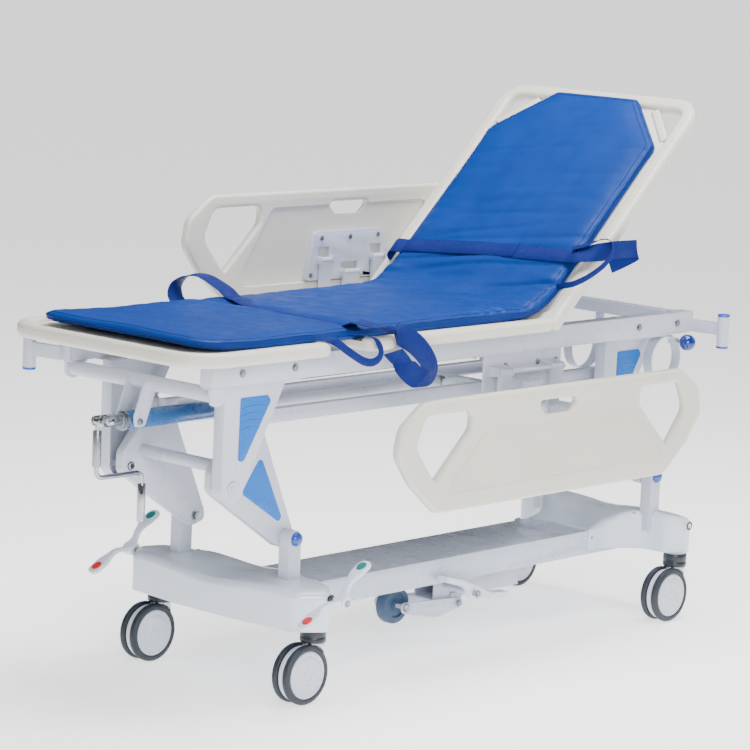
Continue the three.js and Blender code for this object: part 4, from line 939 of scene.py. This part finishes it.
def holder():
    """Two rings and a bar for an oxygen bottle, with its clamp screw and knob."""
    riser_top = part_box("oxygen_holder")[1].z
    centre = JOINT["knob_turn"] - Vector((0.047, 0, 0.047))
    parts = []
    for mid in (-0.235, 0.046):
        r = 0.066
        ring = [(r - a, mid + h) for a, h in (
            (0.003, -0.015), (0.0005, -0.015), (0, -0.0145), (0, 0.0145), (0.0005, 0.015), (0.003, 0.015),
            (0.0035, 0.0145), (0.0035, -0.0145), (0.003, -0.015))]
        parts.append(turned(f"holder_ring_{mid}", ring, (centre.x, 0, centre.z), (0, 1, 0), PAINT,
            "upper", 72))
    top = centre.z + 0.066
    for label, x0, x1, y0, y1, z0, z1, edge in (
            ("bar", -0.004, 0.026, -0.250, 0.061, top - 0.005, top - 0.001, 0.0012),
            ("tongue", 0.020, 0.075, 0.031, 0.061, top - 0.005, top - 0.001, 0.0012),
            ("riser", 0.070, 0.075, 0.031, 0.061, top - 0.005, riser_top, 0.0012),
            ("lug", 0.039, 0.055, -0.250, -0.222, centre.z + 0.039, centre.z + 0.055, 0.002)):
        parts.append(block(f"holder_{label}", (centre.x + x0, y0, z0), (centre.x + x1, y1, z1), PAINT,
            "upper", edge))
    knob = JOINT["knob_turn"]
    parts.append(rod("holder_screw", (knob.x, -0.264, knob.z), (knob.x, -0.235, knob.z), 0.004, STEEL,
        "upper", 0.0005, 20))
    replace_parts(join("bottle_holder", parts), "oxygen_holder")
    ball_r = 0.023
    ball = [(0.0055, 0.0)] + [(ball_r * math.sin(math.radians(t)),
        ball_r - ball_r * math.cos(math.radians(t))) for t in range(20, 181, 10)]
    knob_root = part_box("oxygen_knob")[1].y
    sphere = turned("holder_knob", ball, (knob.x, knob_root, knob.z), (0, -1, 0), KNOB, "oxygen_knob", 40,
        60)
    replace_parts(sphere, "oxygen_knob")


holder()

# gas spring
start = JOINT["spring_pitch"]
cyl_lo, cyl_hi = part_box("gas_spring_cylinder")
rod_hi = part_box("gas_spring_rod")[1]
along = Vector((rod_hi.x - start.x, 0, rod_hi.z - 0.005 - start.z)).normalized()
centre = Vector((start.x, (cyl_lo.y + cyl_hi.y) / 2, start.z))
spring_parts = [rod("spring_barrel", centre + along * 0.018, centre + along * 0.400, 0.013, BLACK,
    "spring", 0.0025, 36), rod("spring_eye", centre + Vector((0, -0.007, 0)),
    centre + Vector((0, 0.007, 0)), 0.0125, STEEL, "spring", 0.001, 28),
    rod("spring_neck", centre + along * 0.004, centre + along * 0.022, 0.007, STEEL, "spring", 0.001, 20)]
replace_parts(join("spring_tube", spring_parts), "gas_spring_cylinder")
rod_parts = [rod("spring_shaft", centre + along * 0.300, centre + along * 0.655, 0.005, CHROME,
    "spring_rod", 0.0005, 24), rod("spring_release", centre + along * 0.645, centre + along * 0.695,
    0.0075, STEEL, "spring_rod", 0.001, 24)]
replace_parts(join("spring_rod_shown", rod_parts), "gas_spring_rod")


# ---------------------------------------------------------------- deck sections
RIM_BEVEL = 0.0135                # rounding of the decks' and the back panel's rims


def oblong(lo, hi, low_r, high_r):
    """Outline between two corners (x, y), rounded by low_r at its low-x end and high_r at the other."""
    return arc_corners([(*lo, low_r), (hi[0], lo[1], high_r), (*hi, high_r), (lo[0], hi[1], low_r)], 0,
        12)


def rim_ring(name, loop, inner, span, body):
    """Rounded rim between two outlines."""
    return slab(name, [loop, inner], span, "Z", RAIL, body, RIM_BEVEL, 5)


def cut_away(obj, lo, hi):
    """Removes the box lo..hi from obj."""
    name, mat, body = obj.name, obj.data.materials[0], obj["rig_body"]
    knife = block(name + "_knife", lo, hi, mat, None, 0.002)
    return finish_mesh(carve(obj, knife), mat, body)


RIM = 0.034                       # rim width of the decks
pan_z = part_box("mattress_seat")[0].z - 0.0005
for node, corner, inner_corner in (("leg_deck", (0.110, 0.020), (0.076, 0.010)),
        ("seat_deck", (0.030, 0.020), (0.010, 0.010))):
    lo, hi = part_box(node)
    outer = oblong((lo.x, lo.y), (hi.x, hi.y), *corner)
    inside = oblong((lo.x + RIM, lo.y + RIM), (hi.x - RIM, hi.y - RIM), *inner_corner)
    ring = rim_ring(f"{node}_rim", outer, inside, (lo.z, hi.z), "upper")
    ring = cut_away(ring, (hi.x - RIM - 0.001, lo.y + RIM, pan_z), (hi.x + 0.01, hi.y - RIM, hi.z + 0.01))
    if node == "seat_deck":
        ring = cut_away(ring, (lo.x - 0.01, lo.y + RIM, pan_z),
            (lo.x + RIM + 0.001, hi.y - RIM, hi.z + 0.01))
        relief_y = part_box("gas_spring_cylinder")
        mid = (relief_y[0].y + relief_y[1].y) / 2
        ring = cut_away(ring, (hi.x - 0.014, mid - 0.022, lo.z - 0.01),
            (hi.x + 0.01, mid + 0.022, lo.z + 0.016))
    pan = slab(f"{node}_pan", [loop_offset(inside, -0.006)], (pan_z - 0.008, pan_z), "Z", SHELL, "upper",
        0.001)
    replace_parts(join(f"{node}_moulding", [ring, pan]), node)

HINGE = JOINT["backrest"]
LEAN = math.radians(44)           # backrest above level, as it rests
BACK = Matrix.Translation(HINGE) @ Matrix.Rotation(-LEAN, 4, "Y")
U_END = 0.805                     # back panel: length from the hinge, half width, half thickness, rim width
BACK_HALF = 0.345
HALF_T = 0.018
BACK_RIM = 0.044
edge_u, edge_y = U_END - BACK_RIM, BACK_HALF - BACK_RIM
outer = oblong((-HALF_T, -BACK_HALF), (U_END, BACK_HALF), 0.018, 0.084)
inside = oblong((BACK_RIM - HALF_T, -edge_y), (edge_u, edge_y), 0.012, 0.030)
ring = rim_ring("back_rim", outer, inside, (-HALF_T, HALF_T), "back")
ring = cut_away(ring, (-0.011, -0.215, -0.03), (BACK_RIM - HALF_T + 0.001, 0.215, 0.0105))
ring = cut_away(ring, (0.0155, -0.084, -0.03), (0.06, -0.036, 0.0125))
lap = 0.006
quarter = [(edge_u - 0.118, edge_y + lap, 0.004), (edge_u - 0.114, edge_y - 0.006, 0.006),
    (edge_u - 0.006, edge_y - 0.101, 0.006), (edge_u + lap, edge_y - 0.105, 0.004)]
panel_points = [(BACK_RIM - HALF_T - lap, -edge_y - lap, 0.008)] + [(u, -y, r)
    for u, y, r in quarter] + list(reversed(quarter))
panel_points.append((BACK_RIM - HALF_T - lap, edge_y + lap, 0.008))
panel = slab("back_pan", [arc_corners(panel_points, 0, 6)], (-0.002, 0.006), "Z", SHELL, "back", 0.0015)
panel = cut_away(panel, (-0.02, -0.084, -0.03), (0.06, -0.036, 0.02))
for side in (-1, 1):
    brace_from = Vector((edge_u - 0.100, side * (edge_y + 0.004), 0.0))
    brace_to = Vector((edge_u + 0.004, side * (edge_y - 0.089), 0.0))
    way = (brace_to - brace_from).normalized()
    cross = Vector((-way.y, way.x, 0)) * (0.026 if side > 0 else -0.026)
    corners = [brace_from, brace_to, brace_to - cross, brace_from - cross]
    brace = slab(f"back_brace_{side}", [[(c.x, c.y) for c in corners]], (-0.012, 0.012), "Z", RAIL,
        "back", 0.0085)
    ring = join("back_rim", [ring, brace])
shown = join("back_shell", [ring, panel])
shown.data.transform(BACK)
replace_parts(shown, "back_panel")
refined("back_frame", PAINT, "back", 0.0010, 40)


# ---------------------------------------------------------------- side rails
RAIL_HALF = [(520, 0, 64), (600, -58, 44), (616, -128, 44), (560, -204, 40), (462, -286, 40)]
RAIL_HOLE = [(338, -36, 22), (512, -36, 34), (546, -112, 34), (470, -206, 10), (342, -84, 24)]


def mirrored(points):
    return [(-p[0],) + tuple(p[1:]) for p in reversed(points)]


def side_rail(flank):
    side = SIDES[flank]
    node = f"rail_panel_{flank}"
    body = f"rail_{flank}"
    lo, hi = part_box(node)
    mid = (lo.x + hi.x) / 2
    at = (mid, hi.z)
    outer, inner = (lo.y, hi.y) if side < 0 else (hi.y, lo.y)
    whole = shaped(RAIL_HALF + mirrored(RAIL_HALF), at, 0, 12)
    holes = [shaped(RAIL_HOLE, at, 0, 9), shaped(mirrored(RAIL_HOLE), at, 0, 9)]
    slot_hole = shaped([(-86, -36, 9), (86, -36, 9), (48, -72, 30), (-48, -72, 30)], at, 0, 8)
    board = slab(node + "_board", [whole] + holes + [slot_hole], (inner, outer), "Y", RAIL, body, 0.0095,
        5)
    core = shaped([(-300, -42, 30), (300, -42, 30), (436, -250, 30), (-436, -250, 30)], at, 0, 6)
    knife = slab(node + "_knife", [core], (inner - side * 0.02, inner + side * 0.007), "Y", RAIL, None,
        0.0028)
    board = finish_mesh(carve(board, knife), RAIL, body)
    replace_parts(board, node)
    bead = [(-274, -99), (322, -98), (330, -104), (447, -224), (440, -237), (-393, -241), (-409, -230),
        (-410, -215), (-300, -107), (-274, -99)]
    path = []
    for p, q in zip(bead, bead[1:]):
        steps = max(1, round(math.hypot(q[0] - p[0], q[1] - p[1]) / 12))
        path += [Vector((mid + (p[0] + (q[0] - p[0]) * t / steps) * MM, outer - side * 0.0002,
            hi.z + (p[1] + (q[1] - p[1]) * t / steps) * MM)) for t in range(steps)]
    path.append(Vector((mid + bead[0][0] * MM, outer - side * 0.0002, hi.z + bead[0][1] * MM)))
    sweep(node + "_bead", path, oval(0.0024, 0.0017, 8), RAIL, body)
    refined(f"rail_backing_{flank}", PAINT, body, 0.0014, 40)
    refined(f"rail_arms_{flank}", PAINT, f"rail_arms_{flank}", 0.0018, 40)
    refined(f"rail_link_{flank}", PAINT, f"rail_link_{flank}", 0.0018, 40)
    face = side * 0.366
    for label, dx, dz in (("a", -112, -132), ("b", 112, -132), ("c", -150, -232), ("d", 150, -232),
            ("e", 0, -132)):
        bolt(f"rail_screw_{label}_{flank}", (mid + dx * MM, face, hi.z + dz * MM), (0, -side, 0), STEEL,
            body, 0.0052)


for flank in ("near", "far"):
    side_rail(flank)


# ---------------------------------------------------------------- mattress
BEND = 0.095                      # length that bends, from the hinge line each way
VOXEL = 0.0085
CLOTH_STEPS = 20
CLOTH_CAP = 0.007                 # the most a point moves as the pad swells
LEG_STRAP_S = -0.712              # where the leg strap lies along the mattress
CHEST_STRAP_U = 0.165             # where the chest strap lies up the backrest
STITCH_IN = 0.026                 # stitched band from the edge
ARC_R = BEND / math.tan(LEAN / 2)
ARC = ARC_R * LEAN
PAD_LO, PAD_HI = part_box("mattress_seat")
PAD_T = PAD_HI.z - PAD_LO.z
corner_s = HINGE.x + 0.0025


def bent(s, t, h):
    """From the flat mattress, s along it from the hinge line, t across and h up, to where it lies."""
    if s <= -BEND:
        return Vector((corner_s + s, t, PAD_LO.z + h))
    centre = Vector((corner_s - BEND, t, PAD_LO.z + ARC_R))
    angle = min((s + BEND) / ARC_R, LEAN)
    out = Vector((math.sin(angle), 0, -math.cos(angle)))
    p = centre + out * (ARC_R - h)
    if s > -BEND + ARC:
        p += Vector((math.cos(LEAN), 0, math.sin(LEAN))) * (s + BEND - ARC)
    return p


def along_back(u):
    return u - 2 * BEND + ARC


def mattress_loop(shrink=0.0):
    half = PAD_HI.y - shrink
    foot = PAD_LO.x - corner_s + shrink
    side = [(foot, -half, 0.070), (-0.35, -half, 0.3), (along_back(0.618), -half + 0.007, 0.03),
        (along_back(0.780) - shrink, -0.143 + shrink * 0.5, 0.012)]
    return arc_corners(side + [(p[0], -p[1], p[2]) for p in reversed(side)], 0, 8)


def pad_solid(name, loop, thick, edge, grid):
    """Closed pad over a plan outline with rounded edges."""
    loop = resampled(loop, grid)
    n = len(loop)
    rings = [(edge * (1 - math.cos(a)), edge * (1 - math.sin(a)))
        for a in (math.radians(d) for d in (90, 60, 30, 0))]
    levels = rings + [(i, thick - lift) for i, lift in reversed(rings)]
    verts = []
    for inward, h in levels:
        verts += [(p.x, p.y, h) for p in loop_offset(loop, inward)]
    faces = wall_faces(len(levels), n)
    for level, flip in ((0, True), (len(levels) - 1, False)):
        ring = [Vector(verts[level * n + k][:2]) for k in range(n)]
        xs, ys = [p.x for p in ring], [p.y for p in ring]
        steps_x, steps_y = int((max(xs) - min(xs)) / grid), int((max(ys) - min(ys)) / grid)
        inner = [Vector((min(xs) + i * grid, min(ys) + j * grid)) for i in range(1, steps_x)
            for j in range(1, steps_y)]
        h = levels[level][1]
        fill_ring(verts, faces, level * n, ring, inner, lambda x, y: h, flip)
    return from_data(name, [bent(*v) for v in verts], faces)


def flat_coords(p):
    """The inverse of bent, for points in and near the pad."""
    centre = Vector((corner_s - BEND, 0, PAD_LO.z + ARC_R))
    if p.x <= corner_s - BEND:
        return p.x - corner_s, p.y, p.z - PAD_LO.z
    rel = Vector((p.x - centre.x, 0, p.z - centre.z))
    angle = math.atan2(rel.x, -rel.z)
    if angle <= LEAN:
        return -BEND + angle * ARC_R, p.y, ARC_R - rel.length
    out = Vector((math.sin(LEAN), 0, -math.cos(LEAN)))
    tangent = Vector((math.cos(LEAN), 0, math.sin(LEAN)))
    return -BEND + ARC + rel.dot(tangent), p.y, ARC_R - rel.dot(out)


START_T = 0.030     # thickness before the pad swells
mattress = tidy(pad_solid("mattress", mattress_loop(0.004), START_T, 0.012, 0.024), 1e-6)
mod = mattress.modifiers.new("remesh", "REMESH")
mod.mode = "VOXEL"
mod.voxel_size = VOXEL
mattress = bake(mattress)
start_co = [v.co.copy() for v in mattress.data.vertices]
cloth = mattress.modifiers.new("inflate", "CLOTH")
settings = cloth.settings
settings.quality = 4
settings.mass = 0.3
settings.tension_stiffness = 12
settings.compression_stiffness = 12
settings.shear_stiffness = 6
settings.bending_stiffness = 0.6
settings.use_pressure = True
settings.uniform_pressure_force = 4.0
settings.effector_weights.gravity = 0
cloth.collision_settings.use_collision = False
scene = bpy.context.scene
for step in range(1, CLOTH_STEPS + 1):
    scene.frame_set(step)
graph = bpy.context.evaluated_depsgraph_get()
done = mattress.evaluated_get(graph).data
moved = []
for vert, first in zip(done.vertices, start_co):
    go = vert.co - first
    if go.length > CLOTH_CAP:
        go = go.normalized() * CLOTH_CAP
    moved.append(first + go)
mattress.modifiers.remove(cloth)
for vert, co in zip(mattress.data.vertices, moved):
    vert.co = co
scene.frame_set(1)


def surface_shift(s, t):
    """How far the cover's top stands up or down at (s, t): strap dents, folds, the stitched band."""
    strap = s - LEG_STRAP_S
    shift = -0.0075 * math.exp(-(strap / 0.020) ** 2)
    shift += 0.0022 * (math.exp(-((strap - 0.05) / 0.03) ** 2) + math.exp(-((strap + 0.05) / 0.03) ** 2))
    belt = s - along_back(CHEST_STRAP_U)
    shift += -0.0030 * math.exp(-(belt / 0.032) ** 2)
    edge = PAD_HI.y - abs(t)
    gather = max(0.0, 1 - edge / 0.12) * math.exp(-((s + 0.03) / 0.20) ** 2)
    shift += 0.0034 * gather * math.sin(s * 150 + 3.0 * t)
    broad = noise.noise(Vector((s * 3.2, t * 4.5, 0.3))) * 0.0036
    crease = abs(noise.noise(Vector((s * 17 + t * 4, t * 2.6, 4.7))))
    lines = (min(crease, 0.3) - 0.15) * 0.020 * math.exp(-((s - 0.02) / 0.20) ** 2)
    lines += (min(crease, 0.3) - 0.15) * 0.006
    shift += broad + lines + noise.noise(Vector((s * 9, t * 9, 9.1))) * 0.0008
    shift += -0.0028 * math.exp(-((edge - STITCH_IN) / 0.0055) ** 2)
    return shift


RIM_START = along_back(0.742)     # the pad laps over the back panel's top rim
RIM_CLEAR = 0.0128
CURL_FROM = PAD_LO.x - corner_s + 0.30     # the foot end thins and lifts a little from here
work = bmesh.new()
work.from_mesh(mattress.data)
work.normal_update()
for vert in work.verts:
    s, t, h = flat_coords(vert.co)
    up_way = bent(s, t, 1.0) - bent(s, t, 0.0)
    facing = max(0.0, (vert.normal.dot(up_way) - 0.35) / 0.65)
    if h > PAD_T * 0.4 and facing > 0:
        vert.co += up_way * surface_shift(s, t) * facing
    over_rim = min(1.0, max(0.0, (s - RIM_START) / 0.012))
    if over_rim and h < RIM_CLEAR:
        vert.co += up_way * (RIM_CLEAR - h) * over_rim
    curl = min(1.0, max(0.0, (CURL_FROM - s) / 0.28))
    vert.co += up_way * (0.017 - 0.012 * max(0.0, min(1.0, h / PAD_T))) * curl * curl
work.to_mesh(mattress.data)
work.free()
mod = mattress.modifiers.new("smooth", "SUBSURF")
mod.levels = 1
mattress = bake(mattress)
finish_mesh(mattress, NYLON, None, 180)
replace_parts(mattress, "mattress_seat", "mattress_back")

lookup_mesh = bmesh.new()
lookup_mesh.from_mesh(mattress.data)
TREE = BVHTree.FromBMesh(lookup_mesh)
lookup_mesh.free()


def on_top(s, t, lift=0.0012):
    """Point on the finished mattress above the flat place (s, t)."""
    up_way = (bent(s, t, 1.0) - bent(s, t, 0.0)).normalized()
    hit = TREE.ray_cast(bent(s, t, PAD_T + 0.06), -up_way)[0]
    if hit is None:
        hit = bent(s, t, PAD_T * 0.5)
    return hit + up_way * lift, up_way


band = [on_top(p.x, p.y, 0.0004)[0] for p in loop_offset(resampled(mattress_loop(), 0.016), STITCH_IN)]
band.append(band[0].copy())
stitching = sweep("mattress_stitching", band, oval(0.0011, 0.0011 * 0.6, 6), WELT, None)
edge_loop = loop_offset(resampled(mattress_loop(), 0.012), -0.0005)
for label, height in (("upper", 0.80), ("lower", 0.22)):
    path = [TREE.find_nearest(bent(p.x, p.y, PAD_T * height))[0] for p in edge_loop]
    path.append(path[0].copy())
    piping = sweep(f"mattress_piping_{label}", path, oval(0.0019, 0.0019, 8), WELT, None)
    bent(-BEND, 0, 0)
    bent(-BEND + ARC, 0, 0)
    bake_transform(piping)
for piece in (mattress, stitching):
    bent(-BEND, 0, 0)
    bent(-BEND + ARC, 0, 0)
    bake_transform(piece)


# ---------------------------------------------------------------- straps
def curve_through(points, steps=8):
    """Smooth path through rows of numbers."""
    out = []
    rows = [Vector(p) for p in points]
    for i in range(len(rows) - 1):
        p0, p1, p2, p3 = rows[max(i - 1, 0)], rows[i], rows[i + 1], rows[min(i + 2, len(rows) - 1)]
        for k in range(steps):
            t = k / steps
            out.append(0.5 * (2 * p1 + (p2 - p0) * t + (2 * p0 - 5 * p1 + 4 * p2 - p3) * t ** 2
                + (3 * p1 - p0 - 3 * p2 + p3) * t ** 3))
    out.append(rows[-1])
    return out


def strap(name, rows, width, body, rests_on, thick=0.0016):
    """Flat webbing along rows of (point, width direction)."""
    points = [Vector(r[0]) for r in rows]
    half, t, e = width / 2, thick / 2, 0.0005
    section = [(-half, -t + e), (-half + e, -t), (half - e, -t), (half, -t + e), (half, t - e),
        (half - e, t), (-half + e, t), (-half, t - e)]
    verts = []
    for i, (_, across) in enumerate(rows):
        ahead = (points[min(i + 1, len(points) - 1)] - points[max(i - 1, 0)]).normalized()
        across = Vector(across)
        across = (across - ahead * across.dot(ahead)).normalized()
        normal = across.cross(ahead).normalized()
        verts += [points[i] + across * a + normal * b for a, b in section]
    obj = tidy(from_data(name, verts, bar_faces(len(rows), len(section))), FINE_WELD)
    finish_mesh(obj, BELT, body, 60)
    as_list(rests_on)
    return obj


X_WAY = Vector((1, 0, 0))
Z_WAY = Vector((0, 0, 1))
BACK_U = Vector((math.cos(LEAN), 0, math.sin(LEAN)))
BACK_N = Vector((-math.sin(LEAN), 0, math.cos(LEAN)))


def rows_about(points, u_way=X_WAY, n_way=Z_WAY, steps=8):
    """Rows from (u, y, n) in millimetres about the hinge, each with its width direction (u, y, n)."""
    path = [HINGE + u_way * u * MM + Vector((0, y, 0)) * MM + n_way * n * MM for u, y, n, *_ in points]
    ways = [u_way * u + Vector((0, y, 0)) + n_way * n for *_, u, y, n in points]
    return list(zip(curve_through(path, steps), curve_through(ways, steps)))


def laid_rows(places, across, lift=0.0016):
    """Rows that lie on the mattress through places (s, t)."""
    flat = curve_through([Vector((s, t, 0)) for s, t in places], 6)
    return [(on_top(p.x, p.y, lift)[0], across) for p in flat]


LEG_W = 0.056
# far end: out from under the far rim, over it in a loose hump and on to the mattress
hump = rows_about([(-690, 352, 12, 1, 0, 0), (-690, 372, 34, 1, 0.1, 0.1), (-676, 378, 62, 1, 0.2, 0.2),
    (-656, 364, 84, 1, 0.2, 0.1), (-640, 328, 88, 1, 0.1, 0), (-636, 285, 76, 1, 0.05, 0),
    (-644, 235, 62, 1, 0, 0)])
places = [(-0.650, 0.205), (-0.672, 0.15), (-0.700, 0.085), (-0.708, 0.0), (-0.706, -0.085),
    (-0.712, -0.17), (-0.716, -0.255)]
middle = laid_rows(places, X_WAY)
hang = rows_about([(-712, -292, 50, 1, 0, 0), (-690, -326, 44, 1, -0.15, -0.1),
    (-655, -354, 32, 1, -0.3, -0.45), (-600, -372, 4, 0.9, -0.1, 0.6), (-556, -376, -32, 0.75, 0, 0.75),
    (-530, -374, -68, 0.85, 0, 0.5), (-536, -370, -93, 1, 0, 0), (-562, -364, -92, 0.8, 0, -0.6),
    (-594, -360, -70, 0.7, 0, -0.75), (-624, -357, -42, 0.7, 0, -0.7), (-648, -354, -20, 0.7, 0, -0.7)])
strap("leg_strap", hump + middle + hang, LEG_W, "upper", [mattress, "leg_deck", "seat_deck"])

tie = rows_about([(-885, -308, 22, 1, 0, 0), (-872, -330, 25, 1, 0.1, 0.2), (-854, -353, 20, 0.5, 0, 0.8),
    (-822, -362, -2, 0.4, 0, 0.9), (-770, -364, -30, 0.2, 0, 1), (-735, -364, -38, 0, 0, 1),
    (-708, -363, -30, -0.4, 0, 0.9), (-700, -361, -10, -0.8, 0, 0.5), (-716, -355, 16, -1, 0, 0.4),
    (-734, -335, 25, -1, 0, 0.1), (-752, -306, 24, -1, 0, 0)])
strap("tie_loop", tie, 0.020, "upper", [mattress, "leg_deck"], 0.0014)

CHEST_W = 0.047
far_wrap = rows_about([(128, 296, 9, 1, 0, 0), (130, 312, 14, 1, 0, 0), (133, 317, 32, 1, 0, 0),
    (137, 309, 47, 1, 0, 0), (140, 295, 51, 1, 0, 0)], BACK_U, BACK_N, 6)
under_places = [(0.141, 0.27), (0.152, 0.18), (0.163, 0.08), (0.170, 0.0), (0.178, -0.10), (0.184, -0.19),
    (0.188, -0.268)]
under = laid_rows([(along_back(u), y) for u, y in under_places], BACK_U)
outboard = rows_about([(192, -298, 48, 1, 0, 0.05), (204, -325, 44, 1, -0.2, 0),
    (224, -348, 34, 1, -0.3, 0), (262, -374, 8, 0.9, -0.2, 0.35), (296, -388, -22, 0.75, -0.1, 0.6),
    (312, -388, -40, 0.7, 0.2, 0.65), (310, -376, -52, 0.7, 0.3, 0.6), (290, -362, -50, 0.8, 0.2, 0.5),
    (262, -352, -40, 0.85, 0.1, 0.4), (240, -346, -30, 0.9, 0, 0.3)], BACK_U, BACK_N)
strap("chest_strap", far_wrap + under + outboard, CHEST_W, "back", [mattress, "back_panel"])
over_places = [(0.142, 0.285), (0.150, 0.20), (0.160, 0.11), (0.170, 0.02), (0.177, -0.05),
    (0.181, -0.098)]
over = laid_rows([(along_back(u), y) for u, y in over_places], BACK_U, 0.0040)
strap("chest_strap_overlap", over, CHEST_W - 0.001, "back", [mattress, "chest_strap"])
thin = rows_about([(96, -290, 30, 0.5, 0, 0.8), (101, -312, 34, 0.5, 0, 0.8),
    (112, -340, 34, 0.5, 0, 0.9), (148, -368, 30, 0.3, 0, 1), (196, -384, 24, 0.2, 0, 1),
    (240, -386, 26, 0, 0, 1), (264, -372, 36, -0.3, 0, 1), (262, -352, 46, -0.6, 0, 0.8),
    (244, -334, 52, -0.9, 0, 0.4), (224, -310, 54, -1, 0, 0.2), (212, -280, 52, -1, 0, 0)], BACK_U,
    BACK_N)
strap("chest_strap_tail", thin, 0.016, "back", [mattress, "back_panel"], 0.0014)


# ---------------------------------------------------------------- surroundings, light and camera
FLOOR = 300                       # half size of the floor, out to the horizon
floor = from_data("studio_floor", [(-FLOOR, -FLOOR, 0), (FLOOR, -FLOOR, 0), (FLOOR, FLOOR, 0),
    (-FLOOR, FLOOR, 0)], [(0, 1, 2, 3)])
finish_mesh(floor, WHITE_FLOOR, None)

world = bpy.data.worlds.new("studio")
bpy.context.scene.world = world
world.use_nodes = True
AMBIENT = 0.20
sky = world.node_tree.nodes["Background"].inputs
sky["Color"].default_value = (0.96, 0.98, 1.0, 1)
sky["Strength"].default_value = AMBIENT


def area_light(name, at, toward, size, power):
    light = bpy.data.lights.new(name, "AREA")
    light.shape = "RECTANGLE"
    light.size, light.size_y = size
    light.energy = power
    obj = placed(name, light)
    at, toward = Vector(at), Vector(toward)
    obj.matrix_world = Matrix.Translation(at) @ (at - toward).to_track_quat("Z", "Y").to_matrix().to_4x4()
    return obj


area_light("overhead", (0.2, -0.4, 4.2), (0.2, 0, 0.6), (3.2, 2.4), 330)
area_light("front_fill", (-3.0, -4.2, 2.4), (0.1, 0, 0.6), (2.2, 1.6), 190)
area_light("head_side", (4.4, -2.6, 2.8), (0.3, 0, 0.8), (1.6, 1.6), 90)

# the camera fitted to the photo: focal length in mm, yaw, pitch and roll in degrees, and place in metres
FOCAL = 148.68
VIEW_TURN = (47.68, -8.82, 2.62)
VIEW_FROM = (-5.9029, -5.34865, 1.96608)
camera = bpy.data.cameras.new("photo_view")
camera.lens = FOCAL
camera.sensor_width = 36.0
viewer = placed("photo_view", camera)
yaw, pitch, roll = (math.radians(a) for a in VIEW_TURN)
ahead = Vector((math.sin(yaw) * math.cos(pitch), math.cos(yaw) * math.cos(pitch), math.sin(pitch)))
right = ahead.cross(Vector((0, 0, 1))).normalized()
above = right.cross(ahead)
across = right * math.cos(roll) + above * math.sin(roll)
upward = above * math.cos(roll) - right * math.sin(roll)
turn = Matrix((across, upward, -ahead)).transposed().to_4x4()
viewer.matrix_world = Matrix.Translation(VIEW_FROM) @ turn
bpy.context.scene.camera = viewer
